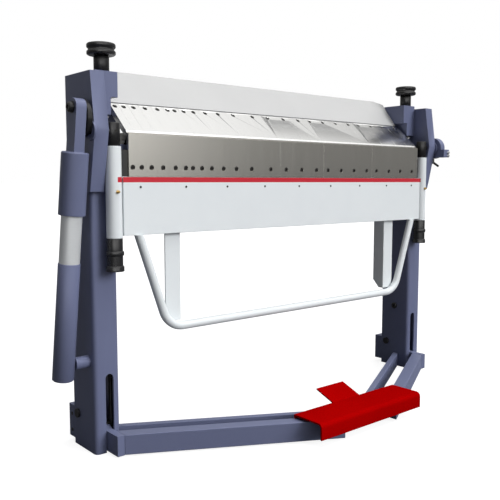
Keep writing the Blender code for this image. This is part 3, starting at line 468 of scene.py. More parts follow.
BLUE = Paint("slate blue paint", (0.136, 0.153, 0.252), (0.124, 0.140, 0.236), (0.21, 0.225, 0.33), coat=0.10,
             gloss=0.35)
WHITE = Paint("leaf white paint", (0.74, 0.775, 0.79), (0.71, 0.745, 0.765), (0.80, 0.82, 0.83), 0.36, 0.2, 0.08, 0.4)
BANDED = replace(WHITE, name="leaf white paint with a band", dust=0.02, stripe=(0.52, 0.016, 0.032))
# The leaf beam's back above the band is painted near black: painted shade for the shadowed gap beside the end tubes.
BEAM = replace(BANDED, name="leaf white paint with a band and a black back", painted_shade_above=0.7622)
GREY = Paint("panel grey paint", (0.46, 0.46, 0.458), (0.44, 0.44, 0.44), (0.52, 0.52, 0.52), 0.40, 0.10, 0.08, 0.4)
RED = Paint("pedal red paint", (0.32, 0.0004, 0.0006), (0.28, 0.0003, 0.0005), (0.38, 0.004, 0.005), 0.60, 0.0,
            0.06, 0.3, 0.0, gloss=0.0)
GROUND = Steel("bright ground steel", (0.86, 0.86, 0.855), (0.84, 0.84, 0.835), 0.25, 60.0, 5.0, 5.0, 0.0)
BLADE = Steel("brushed blade steel", (0.575, 0.560, 0.520), (0.545, 0.530, 0.490), 0.24, 70.0, 70.0, 5.0, 0.0)
CHROME = Steel("polished strut steel", (0.84, 0.86, 0.87), (0.80, 0.82, 0.83), 0.34, 60.0, 60.0, 400.0, 0.02, 0.45)
ZINC = Steel("bright zinc", (0.60, 0.61, 0.63), (0.50, 0.51, 0.53), 0.32, 300.0, 300.0, 300.0, 0.10)
BLACK = Oxide("blackened steel", (0.016, 0.016, 0.017), (0.085, 0.085, 0.088), 0.32)
BLACK_PLASTIC = Oxide("black plastic", (0.012, 0.012, 0.013), (0.045, 0.045, 0.048), 0.28, 0.0, 0.10)
BRASS = Steel("brass", (0.62, 0.42, 0.16), (0.50, 0.32, 0.11), 0.28, 200.0, 200.0, 200.0, 0.05)
SCREW = Oxide("dark screw steel", (0.020, 0.019, 0.018), (0.10, 0.095, 0.09), 0.45, 0.3)


# modelling

# How far a drill's upper end stands out of the face that it cuts.
DRILL_PAST = 0.002


class Bench:
    """The hand tools that shape a piece."""

    @staticmethod
    def take(*objects: Piece) -> None:
        """Selects these objects only; the last is the active one."""
        if bpy.context.mode != "OBJECT":
            bpy.ops.object.mode_set(mode="OBJECT")
        bpy.ops.object.select_all(action="DESELECT")
        for item in objects:
            item.select_set(True)
            bpy.context.view_layer.objects.active = item

    @staticmethod
    def named(name: str) -> Piece:
        """Names the primitive just added."""
        made = bpy.context.active_object
        made.name = name
        made.data.name = name
        return made

    @staticmethod
    def settle(piece: Piece, matrix: Matrix | None = None) -> Piece:
        """Moves a piece's place into its mesh."""
        piece.data.transform((matrix or Matrix()) @ piece.matrix_basis)
        piece.matrix_basis = Matrix()
        return piece

    @staticmethod
    def block(name: str, low: Vector, high: Vector) -> Piece:
        """A square block between two corners."""
        Bench.take()
        bpy.ops.mesh.primitive_cube_add(size=1.0, location=(low + high) / 2, scale=high - low)
        return Bench.settle(Bench.named(name))

    @staticmethod
    def aim(foot: Vector, direction: Vector) -> Matrix:
        """Turns +Z to a direction and moves the origin to a point."""
        turn = UP.rotation_difference(direction).to_matrix().to_4x4()
        return Matrix.Translation(foot) @ turn

    @staticmethod
    def turned(name: str, profile: Profile, foot: Vector, direction: Vector,
               sides: int = 64) -> Piece:
        """Turns a round piece from a disc, one step at a time.

        Args:
            name: The piece's name.
            profile: Radius and height of each step, from the foot up; the last face is closed.
            foot: Where height 0 lies.
            direction: Which way the heights run.
            sides: How many corners the circle has.

        Returns:
            The closed piece.
        """
        Bench.take()
        bpy.ops.mesh.primitive_circle_add(vertices=sides, radius=profile[0][0], fill_type="NGON")
        piece = Bench.named(name)
        bpy.ops.object.mode_set(mode="EDIT")
        bpy.ops.mesh.select_all(action="SELECT")
        for (radius, height), (wider, higher) in zip(profile, profile[1:]):
            rise = (0.0, 0.0, higher - height)
            bpy.ops.mesh.extrude_region_move(TRANSFORM_OT_translate={"value": rise})
            share = wider / radius
            centre = (0.0, 0.0, higher - profile[0][1])
            bpy.ops.transform.resize(value=(share, share, 1.0), center_override=centre)
        bpy.ops.mesh.select_all(action="SELECT")
        bpy.ops.mesh.normals_make_consistent(inside=False)
        bpy.ops.object.mode_set(mode="OBJECT")
        return Bench.settle(piece, Bench.aim(foot, direction) @ Matrix.Translation((0, 0, profile[0][1])))

    @staticmethod
    def upright(node: str) -> tuple[Vector, float, float]:
        """The foot, height and radius of an upright round solid."""
        low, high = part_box(node)
        foot = Vector(((low.x + high.x) / 2, (low.y + high.y) / 2, low.z))
        return foot, high.z - low.z, (high.x - low.x) / 2

    @staticmethod
    def modify(piece: Piece, kind: str, **settings: object) -> Piece:
        """Adds a modifier and applies it."""
        Bench.take(piece)
        modifier = piece.modifiers.new(kind.lower(), kind)
        for name, value in settings.items():
            setattr(modifier, name, value)
        bpy.ops.object.modifier_apply(modifier=modifier.name)
        return piece

    @staticmethod
    def cut(piece: Piece, *cutters: Piece) -> Piece:
        """Cuts other shapes out of a piece and throws them away."""
        Bench.take(*cutters)
        if len(cutters) > 1:
            bpy.ops.object.join()
        tool = bpy.context.active_object
        Bench.modify(piece, "BOOLEAN", operation="DIFFERENCE", solver="EXACT", object=tool)
        bpy.data.objects.remove(tool)
        return piece

    @staticmethod
    def drill(piece: Piece, places: Sequence[Vector], profile: Profile,
              direction: Vector, sides: int) -> Piece:
        """Drills a hole of one profile at each place."""
        for place in places:
            Bench.cut(piece, Bench.turned("drill", profile, place, direction, sides))
        return piece

    @staticmethod
    def round_edges(piece: Piece, width: float, segments: int = 3) -> Piece:
        """Rounds every sharp edge and shades the piece smooth."""
        Bench.take(piece)
        bpy.ops.object.shade_smooth()
        return Bench.modify(piece, "BEVEL", width=width, segments=segments, limit_method="ANGLE",
                            angle_limit=math.radians(40), harden_normals=True, use_clamp_overlap=True)

    @staticmethod
    def smooth(piece: Piece, degrees: float = 35.0) -> Piece:
        """Smooth shading, with edges sharper than an angle left crisp."""
        Bench.take(piece)
        bpy.ops.object.shade_smooth_by_angle(angle=math.radians(degrees))
        return piece

    @staticmethod
    def carve(piece: Piece, planes: Sequence[tuple[Vector, Vector]]) -> Piece:
        """Slices off what lies beyond each plane and closes the cut.

        Args:
            piece: The piece to slice.
            planes: A point and an outward normal for each cut.

        Returns:
            The same piece.
        """
        Bench.take(piece)
        bpy.ops.object.mode_set(mode="EDIT")
        for point, normal in planes:
            bpy.ops.mesh.select_all(action="SELECT")
            bpy.ops.mesh.bisect(plane_co=point, plane_no=normal, use_fill=True, clear_outer=True)
        bpy.ops.mesh.select_all(action="SELECT")
        bpy.ops.mesh.normals_make_consistent(inside=False)
        bpy.ops.object.mode_set(mode="OBJECT")
        return piece

    @staticmethod
    def copied(piece: Piece, name: str, shift: Vector) -> Piece:
        """A copy with its own mesh, moved by a shift."""
        made = piece.copy()
        made.data = piece.data.copy()
        made.name = name
        made.data.name = name
        in_scene(made)
        made.data.transform(Matrix.Translation(shift))
        return made

    @staticmethod
    def handover(piece: Piece, finish: Finish, slot: Slot, body: Body, *nodes: str) -> Piece:
        """Dresses a finished piece, seats it on its body and hides the nodes that it stands for."""
        piece.data.materials.clear()
        piece.data.materials.append(finish.material())
        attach(piece, body.value)
        if nodes:
            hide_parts(*nodes)
        LOG.info("made %s for %s", piece.name, body.value)
        return piece

    @staticmethod
    def eased(node: str, name: str, width: float, segments: int = 2) -> Piece:
        """A copy of a solid with its edges rounded.

        Args:
            node: The solid's node.
            name: The new piece's name.
            width: The radius that the edges get.
            segments: The steps across each rounded edge.

        Returns:
            The new piece, at the solid's place.
        """
        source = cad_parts[node]
        piece = bpy.data.objects.new(name, source.data.copy())
        in_scene(piece)
        Bench.take(piece)
        bpy.ops.object.mode_set(mode="EDIT")
        bpy.ops.mesh.select_all(action="SELECT")
        bpy.ops.mesh.customdata_custom_splitnormals_clear()
        bpy.ops.mesh.remove_doubles(threshold=1e-5)
        bpy.ops.mesh.dissolve_limited(angle_limit=math.radians(0.4))
        bpy.ops.object.mode_set(mode="OBJECT")
        return Bench.round_edges(piece, width, segments)


def ease(nodes: Sequence[str], width: float, finish: Finish, slot: Slot, body: Body) -> None:
    """Replaces solids by copies with rounded edges, in one finish."""
    for node in nodes:
        piece = Bench.eased(node, f"{node}_eased", width)
        Bench.handover(piece, finish, slot, body, node)


def dress(nodes: Sequence[str], finish: Finish) -> None:
    """Gives solids that stay as they are their finish."""
    for node in nodes:
        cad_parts[node].data.materials.clear()
        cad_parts[node].data.materials.append(finish.material())


# sub-assemblies


@dataclass
class ScrewSet:
    """One kind of socket screw, modelled once and copied."""

    name: str
    radius: float
    height: float
    socket: float
    finish: Finish
    slot: Slot
    body: Body
    made: int = 0

    def pattern(self) -> Piece:
        """The screw head at the origin, facing +Z, with its six-sided socket."""
        rim = min(self.radius, self.height) * 0.25
        profile = [(self.radius, 0.0), (self.radius, self.height - rim), (self.radius - rim, self.height)]
        head = Bench.turned(f"{self.name}_pattern", profile, Vector(), UP, 32)
        key = Bench.turned("key", [(self.socket, self.height * 0.4), (self.socket, self.height * 1.5)],
                           Vector(), UP, 6)
        return Bench.smooth(Bench.cut(head, key))

    def drive(self, places: Sequence[Vector], direction: Vector) -> None:
        """Puts a screw at each place.

        Args:
            places: Where each head's underside lies.
            direction: Which way the heads face.
        """
        pattern = self.pattern()
        pattern.data.transform(Bench.aim(Vector(), direction))
        for place in places:
            self.made += 1
            screw = Bench.copied(pattern, f"{self.name}_{self.made:02d}", place)
            Bench.handover(screw, self.finish, self.slot, self.body)
        bpy.data.objects.remove(pattern)


@dataclass
class FingerSet:
    """The bright fingers above the folding line, with their countersunk screws."""

    widths: tuple[float, ...] = (0.025, 0.030, 0.035, 0.040, 0.045, 0.050, 0.075, 0.100, 0.150, 0.200, 0.250, 0.270)
    holes: tuple[float, ...] = (
        0.0118, 0.0395, 0.0710, 0.1083, 0.1500, 0.1847, 0.2095, 0.2420, 0.2775, 0.3213, 0.3706, 0.4308,
        0.5103, 0.5763, 0.6462, 0.7156, 0.7715, 0.8374, 0.9039, 0.9716, 1.0269, 1.0975, 1.1652, 1.2360)
    hole_radius: float = 0.0070
    hole_depth: float = 0.0060
    head_lift: float = 0.0003
    screw_radius: float = 0.0058
    screw_height: float = 0.0042
    screw_socket: float = 0.0030
    joint_fill: float = 0.0005
    below_top: float = 0.0130

    def direction(self) -> tuple[Vector, Vector]:
        """The way up a finger's face, and its outward normal."""
        rise = Vector((0.0, 0.0878, 0.0790)).normalized()
        return rise, Vector((0.0, -rise.z, rise.y))

    def face_top(self) -> Vector:
        """The top edge of the fingers' face."""
        _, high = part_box("finger_12")
        return Vector((0.0, DATUM.at(0, 0.101, 0).y, high.z))

    def places(self) -> list[Vector]:
        """Where each screw's hole opens in the fingers' faces."""
        rise, _ = self.direction()
        start = self.face_top() - rise * self.below_top
        left = DATUM.x - sum(self.widths) / 2
        return [Vector((left + hole, start.y, start.z)) for hole in self.holes]

    def build(self) -> None:
        """Drills each finger and drives its screws."""
        _, normal = self.direction()
        places = self.places()
        radius, seat_depth = self.hole_radius, self.hole_depth - self.head_lift
        profile = [(radius, -self.hole_depth), (radius, 0.0), (radius * 1.15, DRILL_PAST)]
        for number in range(1, len(self.widths) + 1):
            node = f"finger_{number:02d}"
            low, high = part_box(node)
            piece = Bench.eased(node, f"{node}_ground", 0.0001, 1)
            middle, share = (low.x + high.x) / 2, 1.0 + self.joint_fill / (high.x - low.x)
            widen = Matrix.Diagonal((share, 1.0, 1.0, 1.0))
            centre = Matrix.Translation((middle, 0.0, 0.0))
            piece.data.transform(centre @ widen @ centre.inverted())
            inside = [place for place in places if low.x < place.x < high.x]
            Bench.drill(piece, inside, profile, normal, 24)
            Bench.handover(Bench.smooth(piece, 20.0), GROUND, Slot.GROUND, Body.CLAMP, node)
        screws = ScrewSet("finger_screw", self.screw_radius, self.screw_height, self.screw_socket, SCREW,
                          Slot.BLACK, Body.CLAMP)
        screws.drive([place - normal * seat_depth for place in places], normal)


@dataclass
class LowerBlade:
    """The leaf's lower segments, one for each finger, with their screws."""

    fingers: FingerSet
    gap: float = 0.0002
    hole_height: float = 0.787
    hole_radius: float = 0.0072
    hole_depth: float = 0.0052
    screw_height: float = 0.0046
    chamfer: float = 0.0010

    def build(self) -> None:
        """Cuts the blade into its segments and drills them."""
        low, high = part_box("leaf_blade")
        left = DATUM.x - sum(self.fingers.widths) / 2
        places = [Vector((left + hole, low.y, self.hole_height)) for hole in self.fingers.holes]
        profile = [(self.hole_radius, -self.hole_depth), (self.hole_radius, DRILL_PAST)]
        for number, width in enumerate(self.fingers.widths, 1):
            start = Vector((left + self.gap / 2, low.y, low.z))
            end = Vector((left + width - self.gap / 2, high.y, high.z))
            piece = Bench.block(f"blade_segment_{number:02d}", start, end)
            corner = Vector((0.0, low.y + self.chamfer / 2, high.z - self.chamfer / 2))
            Bench.carve(piece, [(corner, Vector((0.0, -1.0, 1.0)).normalized())])
            inside = [place for place in places if start.x < place.x < end.x]
            Bench.drill(piece, inside, profile, FRONT, 28)
            Bench.smooth(piece, 20.0)
            Bench.handover(piece, BLADE, Slot.BLADE, Body.LEAF)
            left += width
        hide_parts("leaf_blade")
        screws = ScrewSet("blade_screw", self.fingers.screw_radius, self.screw_height, self.fingers.screw_socket,
                          SCREW, Slot.BLACK, Body.LEAF)
        sunk = Vector((0, self.hole_depth - self.fingers.head_lift, 0))
        screws.drive([place + sunk for place in places], FRONT)


@dataclass
class Leaf:
    """The folding leaf: beam, end tubes, legs and pull handle."""

    screw_x: tuple[float, ...] = (-0.600, -0.450, -0.300, -0.150, 0.0, 0.150, 0.300, 0.450, 0.600)
    screw_z: float = 0.7345
    tube_x: float = 0.675
    tube_y: float = 0.013
    nipple_z: float = 0.722
    handle_radius: float = 0.0125
    handle_y: float = 0.004
    handle_top: tuple[float, float] = (0.604, 0.5987)
    handle_corner: tuple[float, float] = (0.513, 0.335)
    handle_bend: float = 0.070

    def build(self) -> None:
        """Makes the leaf's painted pieces and its small screws."""
        ease(("leaf_beam",), 0.0010, BEAM, Slot.LEAF, Body.LEAF)
        ease(("handle_leg_left", "handle_leg_right"), 0.0015, WHITE, Slot.LEAF, Body.LEAF)
        for side in Side:
            self.build_tube(side)
        self.build_handle()
        screws = ScrewSet("leaf_screw", 0.0032, 0.0012, 0.0016, SCREW, Slot.BLACK, Body.LEAF)
        screws.drive([DATUM.at(x, 0.0, self.screw_z) for x in self.screw_x], FRONT)

    def build_tube(self, side: Side) -> None:
        """An end tube with its grease nipple."""
        node = side.label("leaf_tube")
        foot, height, radius = Bench.upright(node)
        profile = [(radius - 0.001, 0.0), (radius, 0.001), (radius, height - 0.001), (radius - 0.001, height)]
        tube = Bench.turned(f"{node}_turned", profile, foot, UP, 96)
        Bench.handover(Bench.smooth(tube), BANDED, Slot.LEAF, Body.LEAF, node)
        seat = DATUM.at(side.value * self.tube_x, self.tube_y - radius + 0.0008, self.nipple_z)
        profile = [(0.0048, 0.0), (0.0048, 0.0030), (0.0040, 0.0034), (0.0026, 0.0036), (0.0026, 0.0056),
                   (0.0034, 0.0066), (0.0034, 0.0080), (0.0018, 0.0096)]
        nipple = Bench.turned(side.label("grease_nipple"), profile, seat, FRONT, 24)
        Bench.handover(Bench.smooth(nipple), BRASS, Slot.ZINC, Body.LEAF)

    def build_handle(self) -> None:
        """The bent tube handle: a round section swept along its line and cut level under the leaf."""
        Bench.take()
        bpy.ops.curve.primitive_bezier_curve_add()
        curve = bpy.context.active_object
        curve.name = "pull_handle_bent"
        curve.data.splines.clear()
        route = self.handle_route()
        spline = curve.data.splines.new("POLY")
        spline.points.add(len(route) - 1)
        for point, (x, z) in zip(spline.points, route):
            point.co = (*DATUM.at(x, self.handle_y, z), 1.0)
        curve.data.bevel_depth = self.handle_radius
        curve.data.bevel_resolution = 10
        curve.data.use_fill_caps = True
        bpy.ops.object.convert(target="MESH")
        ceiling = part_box("leaf_beam")[0].z - 0.0003
        piece = Bench.carve(bpy.context.active_object, [(Vector((0.0, 0.0, ceiling)), UP)])
        Bench.handover(Bench.smooth(piece, 50.0), WHITE, Slot.LEAF, Body.LEAF, "pull_handle")

    def handle_route(self) -> list[tuple[float, float]]:
        """The handle's centre line: (x, z) from the right end round both bends to the left end."""
        top, corner, bend = self.handle_top, self.handle_corner, self.handle_bend
        lean = math.atan2(top[1] - corner[1], top[0] - corner[0])
        middle = (corner[0] - bend * math.tan(lean / 2), corner[1] + bend)
        steps = 20
        turns = [lean - math.radians(90.0) - lean * step / steps for step in range(steps + 1)]
        right = [(middle[0] + bend * math.cos(turn), middle[1] + bend * math.sin(turn)) for turn in turns]
        rise = (top[0] + (top[0] - corner[0]) * 0.1, top[1] + (top[1] - corner[1]) * 0.1)
        points = [rise, *right]
        return points + [(-x, z) for x, z in reversed(points)]


@dataclass
class LeafHanging:
    """The black hinge blocks at the leaf's ends and the nuts that set its height."""

    tube_x: float = 0.675
    tube_y: float = 0.013
    cap_radius: float = 0.019
    cap_low: float = 0.8435
    cap_high: float = 0.9040
    cap_lap: float = 0.0002
    set_screw_z: float = 0.882
    nut_neck: float = 0.0215

    def build(self) -> None:
        """Makes the caps, their set screws and the knurled nuts."""
        dress(("hinge_block_left", "hinge_block_right"), BLACK)
        for side in Side:
            self.build_cap(side)
            self.build_nut(side)
        screws = ScrewSet("hinge_set_screw", 0.0042, 0.0016, 0.0022, SCREW, Slot.BLACK, Body.CARRIER)
        front = self.tube_y - self.cap_radius - self.cap_lap
        places = [DATUM.at(side.value * self.tube_x, front + 0.0004, self.set_screw_z) for side in Side]
        screws.drive(places, FRONT)

    def build_cap(self, side: Side) -> None:
        """The turned cap that covers a hinge block."""
        foot = DATUM.at(side.value * self.tube_x, self.tube_y, self.cap_low - self.cap_lap)
        height, radius = self.cap_high - self.cap_low + 2 * self.cap_lap, self.cap_radius + self.cap_lap
        profile = [(radius - 0.0010, 0.0), (radius, 0.0010), (radius, height - 0.0034),
                   (radius - 0.0010, height - 0.0012), (radius - 0.0034, height)]
        cap = Bench.turned(side.label("hinge_cap"), profile, foot, UP, 80)
        Bench.handover(Bench.smooth(cap, 50.0), BLACK, Slot.BLACK, Body.CARRIER)

    def build_nut(self, side: Side) -> None:
        """A height nut with knurled collars."""
        node = side.label("height_nut")
        foot, height, wide = Bench.upright(node)
        neck = self.nut_neck / wide
        steps = ((0.965, 0.0), (1.0, 0.010), (1.0, 0.145), (0.965, 0.160), (neck, 0.175), (neck, 0.470),
                 (0.965, 0.490), (1.0, 0.505), (1.0, 0.590), (0.965, 0.605), (neck, 0.620), (neck, 0.985),
                 (neck - 0.03, 1.0))
        profile = [(share * wide, level * height) for share, level in steps]
        nut = Bench.smooth(Bench.turned(f"{node}_turned", profile, foot, UP, 80), 40.0)
        body = Body.NUT_LEFT if side is Side.LEFT else Body.NUT_RIGHT
        Bench.handover(nut, BLACK_PLASTIC, Slot.BLACK, body, node)


@dataclass
class PressureScrew:
    """A black knob on its sleeve, over a beam bracket."""

    side: Side

    def build(self) -> None:
        """Turns the sleeve and the knob."""
        node = self.side.label("screw_sleeve")
        foot, height, radius = Bench.upright(node)
        profile = [(radius - 0.001, 0.0), (radius, 0.001), (radius, height - 0.002), (radius - 0.002, height)]
        sleeve = Bench.turned(f"{node}_turned", profile, foot, UP, 80)
        Bench.handover(Bench.smooth(sleeve, 50.0), BLACK, Slot.BLACK, Body.CLAMP, node)
        self.build_knob()

    def build_knob(self) -> None:
        """The knob: two rims with a groove between them and a dished top."""
        node = self.side.label("knob")
        foot, height, radius = Bench.upright(node)
        steps = ((0.70, 0.0), (0.90, 0.02), (0.97, 0.07), (1.0, 0.14), (1.0, 0.30), (0.975, 0.36), (0.90, 0.44),
                 (0.89, 0.50), (0.90, 0.56), (0.975, 0.64), (1.0, 0.70), (1.0, 0.86), (0.975, 0.94), (0.93, 0.985),
                 (0.88, 1.0), (0.80, 0.985), (0.34, 0.975), (0.30, 0.94), (0.12, 0.935))
        profile = [(share * radius, level * height) for share, level in steps]
        knob = Bench.smooth(Bench.turned(f"{node}_turned", profile, foot, UP, 96), 40.0)
        body = Body.KNOB_LEFT if self.side is Side.LEFT else Body.KNOB_RIGHT
        Bench.handover(knob, BLACK_PLASTIC, Slot.BLACK, body, node)


@dataclass
class ClampBeam:
    """The sliding beam above the fingers, with its panel and end brackets."""

    def build(self) -> None:
        """Eases the beam's edges and turns its screws."""
        ease(("clamp_beam",), 0.0015, BLUE, Slot.FRAME, Body.CLAMP)
        ease(("clamp_panel",), 0.0008, GREY, Slot.PANEL, Body.CLAMP)
        ease(("beam_bracket_left", "beam_bracket_right"), 0.0020, BLUE, Slot.FRAME, Body.CLAMP)
        dress(("pull_rod_left", "pull_rod_right"), BLACK)
        for side in Side:
            PressureScrew(side).build()


@dataclass
class Frame:
    """The columns, side heads, bed and floor brace, with the bolts that show."""

    bolt_radius: float = 0.0120
    bolt_height: float = 0.0070
    bolt_socket: float = 0.0058
    bolt_y: float = 0.107
    bolt_z: float = 0.247
    plug_z: tuple[float, float] = (0.083, 0.035)

    def build(self) -> None:
        """Eases the painted frame and adds its bolts."""
        pairs = [side.label(base) for base in ("column", "rear_block", "floor_brace") for side in Side]
        ease(pairs, 0.0015, BLUE, Slot.FRAME, Body.FRAME)
        ease([side.label("cheek") for side in Side], 0.0030, BLUE, Slot.FRAME, Body.FRAME)
        ease(("bed_beam",), 0.0015, BLUE, Slot.FRAME, Body.FRAME)
        ease(("brace_foot",), 0.0015, GREY, Slot.PANEL, Body.FRAME)
        ease(("bed_blade",), 0.0004, BLADE, Slot.GROUND, Body.FRAME)
        dress(("treadle_pivot_left", "treadle_pivot_right"), BLACK)
        dress(("lift_spring_left", "lift_spring_right"), ZINC)
        self.build_bolts()

    def build_bolts(self) -> None:
        """A socket bolt on each column's inner side, and two plugs outside each rear block."""
        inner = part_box("column_right")[0].x
        bolts = ScrewSet("column_bolt", self.bolt_radius, self.bolt_height, self.bolt_socket, BLACK, Slot.BLACK,
                         Body.FRAME)
        seat = Vector((inner, DATUM.at(0, self.bolt_y, 0).y, self.bolt_z))
        bolts.drive([seat], LEFTWARD)
        bolts.drive([Vector((2 * DATUM.x - inner, seat.y, seat.z))], -LEFTWARD)
        plugs = ScrewSet("rear_block_plug", 0.0052, 0.0010, 0.0030, BLACK, Slot.BLACK, Body.FRAME)
        for side in Side:
            low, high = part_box(side.label("rear_block"))
            outer = low.x if side is Side.LEFT else high.x
            places = [Vector((outer, (low.y + high.y) / 2 - 0.003, z)) for z in self.plug_z]
            plugs.drive(places, Vector((side.value, 0, 0)))


@dataclass
class Treadle:
    """The moving V with its red pedal."""

    def build(self) -> None:
        """Eases the bars and the pedal."""
        bars = [side.label(base) for base in ("treadle_arm", "treadle_bar") for side in Side]
        ease([*bars, "treadle_crossbar"], 0.0020, BLUE, Slot.FRAME, Body.TREADLE)
        ease(("pedal",), 0.0010, RED, Slot.PEDAL, Body.TREADLE)


@dataclass
class Strut:
    """The telescopic balance strut on the left, and the disc that it hangs on."""

    top: Place = (-0.775, 0.010, 0.936)
    foot: Place = (-0.799, 0.079, 0.258)
    rod_radius: float = 0.0272
    tube_radius: float = 0.0290
    rod_start: float = 0.250
    tube_start: float = 0.402
    tail: float = 0.040

    def build(self) -> None:
        """Turns the strut's two halves, its bolt and the disc."""
        top, foot = DATUM.at(*self.top), DATUM.at(*self.foot)
        length, down = (foot - top).length, (foot - top).normalized()
        ease(("strut_sleeve",), 0.0012, BLUE, Slot.FRAME, Body.STRUT_HEAD)
        radius, end = self.rod_radius, self.tube_start
        rod = Bench.turned("strut_rod", [(radius, self.rod_start), (radius, end + 0.002)], top, down, 96)
        Bench.handover(Bench.smooth(rod), CHROME, Slot.ZINC, Body.STRUT_FOOT)
        radius, end = self.tube_radius, length + self.tail
        profile = [(radius - 0.0015, self.tube_start), (radius, self.tube_start + 0.0015), (radius, end - 0.002),
                   (radius - 0.002, end)]
        tube = Bench.turned("strut_lower_tube", profile, top, down, 96)
        Bench.handover(Bench.smooth(tube, 50.0), BLUE, Slot.FRAME, Body.STRUT_FOOT, "strut_tube")
        self.build_bolt()
        self.build_disc()

    def build_bolt(self) -> None:
        """The bolt through the strut's eye."""
        head = DATUM.at(self.top[0] - 0.0150, self.top[1], self.top[2])
        profile = [(0.0150, 0.0), (0.0150, 0.0020), (0.0130, 0.0022), (0.0130, 0.0095), (0.0100, 0.0125),
                   (0.0060, 0.0128), (0.0055, 0.0090)]
        bolt = Bench.turned("crank_bolt", profile, head, LEFTWARD, 48)
        Bench.handover(Bench.smooth(bolt), BLACK, Slot.BLACK, Body.STRUT_HEAD)

    def build_disc(self) -> None:
        """The black disc on the folding axis, with a turned edge and face."""
        low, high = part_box("crank_disc")
        foot = Vector((high.x, (low.y + high.y) / 2, (low.z + high.z) / 2))
        radius, depth = (high.z - low.z) / 2, high.x - low.x
        profile = [(radius - 0.0015, 0.0), (radius, 0.0015), (radius, depth - 0.002), (radius - 0.002, depth),
                   (radius * 0.62, depth), (radius * 0.60, depth - 0.0012), (radius * 0.34, depth - 0.0012),
                   (radius * 0.32, depth)]
        disc = Bench.turned("crank_disc_turned", profile, foot, LEFTWARD, 96)
        Bench.handover(Bench.smooth(disc), BLACK, Slot.BLACK, Body.CARRIER, "crank_disc")


@dataclass
class AngleStop:
    """The split collar on the right end of the folding axis."""

    def build(self) -> None:
        """Eases the collar and adds its clamping bolts."""
        ease(("stop_collar",), 0.0015, BLUE, Slot.FRAME, Body.STOP)
        dress(("stop_lever",), BLACK_PLASTIC)
        low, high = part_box("stop_collar")
        bolts = ScrewSet("collar_bolt", 0.0062, 0.0060, 0.0030, ZINC, Slot.ZINC, Body.STOP)
        front = [Vector((high.x - 0.008, low.y + 0.001, low.z + rise)) for rise in (0.022, 0.010)]
        bolts.drive(front, FRONT)


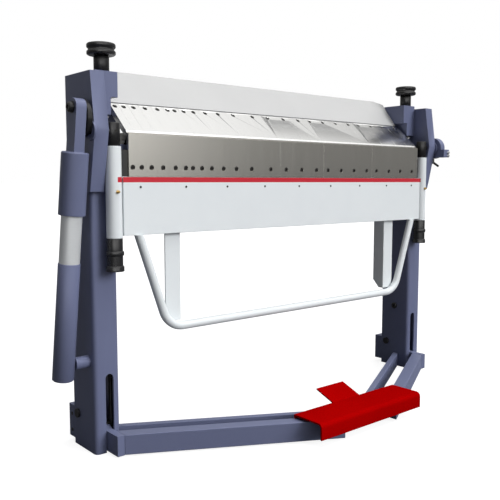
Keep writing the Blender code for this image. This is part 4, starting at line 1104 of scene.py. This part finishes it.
@dataclass
class Studio:
    """The floor, the lights and the camera."""

    eye: Place = (-1.580, -1.615, 0.749)
    yaw: float = 40.28
    pitch: float = 5.7
    lens: float = 49.32

    def build(self) -> None:
        """Sets the whole studio up."""
        self.build_floor()
        self.build_world()
        self.build_lights()
        self.build_camera()

    def build_floor(self) -> None:
        """A wide pale floor."""
        Bench.take()
        bpy.ops.mesh.primitive_plane_add(size=400.0, location=(0, 0, -0.0005))
        floor = Bench.named("floor")
        floor.data.materials.append(Floor("pale floor").material())

    def build_world(self) -> None:
        """White behind the machine, dim light on it, and brighter patches for bright steel to mirror."""
        scene = bpy.context.scene
        scene.view_settings.view_transform = "Standard"
        scene.view_settings.look = "None"
        scene.world = scene.world or bpy.data.worlds.new("studio")
        scene.world.use_nodes = True
        w = Wiring(scene.world.node_tree)
        w.tree.nodes.clear()
        path = w.add("ShaderNodeLightPath")
        seen = w.add("ShaderNodeBackground", i0=(1.0, 1.0, 1.0, 1.0), i1=1.0)
        ray = w.add("ShaderNodeTexCoord").outputs["Generated"]
        lit = w.add("ShaderNodeBackground", i0=(0.96, 0.98, 1.0, 1.0), i1=self.ambient(w, ray))
        shine = w.add("ShaderNodeBackground", i0=(1.0, 0.995, 0.98, 1.0), i1=self.reflected(w, ray))
        rest = w.add("ShaderNodeMixShader", i0=path.outputs["Is Glossy Ray"], i1=lit.outputs[0], i2=shine.outputs[0])
        mixed = w.add("ShaderNodeMixShader", i0=path.outputs["Is Camera Ray"], i1=rest.outputs[0], i2=seen.outputs[0])
        w.add("ShaderNodeOutputWorld", i0=mixed.outputs[0])

    def ambient(self, w: Wiring, ray: Socket) -> Socket:
        """Dim light from all round, brighter from the front right."""
        toward = w.add("ShaderNodeVectorMath", operation="DOT_PRODUCT", i0=ray, i1=(0.55, -0.75, 0.37))
        return w.spread(toward.outputs["Value"], -0.5, 1.0, 0.03, 0.55)

    def reflected(self, w: Wiring, ray: Socket) -> Socket:
        """What bright steel mirrors: pale high up, with bright patches ahead and to the left."""
        axes = w.add("ShaderNodeSeparateXYZ", i0=ray)
        high = w.spread(axes.outputs[2], 0.55, 0.78, 0.05, 0.78)
        front = w.spread(axes.outputs[1], -0.95, -0.78, 2.3, 0.26)
        toward = w.add("ShaderNodeVectorMath", operation="DOT_PRODUCT", i0=ray, i1=(-0.62, -0.77, 0.12))
        panel = w.spread(toward.outputs["Value"], 0.90, 0.97, 0.0, 2.6)
        ahead = w.spread(axes.outputs[1], 0.05, -0.20, 0.0, 0.8)
        raised = w.spread(axes.outputs[2], 0.38, 0.50, 0.0, 1.0)
        nose = w.math("MULTIPLY", ahead, raised)
        return w.math("ADD", w.math("ADD", w.math("ADD", high, front), panel), nose)

    def build_lights(self) -> None:
        """Two broad soft lights: one from above and one from the front right."""
        self.add_sun("overhead", (0.20, -0.15, 1.0), 50.0, 2.2)
        self.add_sun("key", (0.35, -0.85, 0.40), 30.0, 2.17)

    def add_sun(self, name: str, toward: Place, spread: float, power: float) -> None:
        """A distant light, given by the direction toward it and how many degrees wide it is."""
        light = bpy.data.lights.new(name, "SUN")
        light.energy = power
        light.angle = math.radians(spread)
        lamp = bpy.data.objects.new(name, light)
        lamp.visible_glossy = False
        lamp.rotation_euler = Vector(toward).to_track_quat("Z", "Y").to_euler()
        in_scene(lamp)

    def build_camera(self) -> None:
        """The camera, ahead of the machine's left end, a little below the bed, looking slightly down."""
        camera = bpy.data.cameras.new("camera")
        camera.lens = self.lens
        camera.sensor_width = 36.0
        mount = bpy.data.objects.new("camera", camera)
        mount.location = DATUM.at(*self.eye)
        mount.rotation_euler = (math.radians(90.0 - self.pitch), 0.0, math.radians(-self.yaw))
        in_scene(mount)
        bpy.context.scene.camera = mount


def main() -> None:
    """Builds every sub-assembly in order."""
    logging.basicConfig(level=logging.INFO, format="%(message)s")
    Studio().build()
    fingers = FingerSet()
    parts = (Frame(), ClampBeam(), fingers, LowerBlade(fingers), Leaf(), LeafHanging(), Treadle(), Strut(), AngleStop())
    for part in parts:
        part.build()
        LOG.info("finished %s", type(part).__name__)


if __name__ == "__main__":
    main()
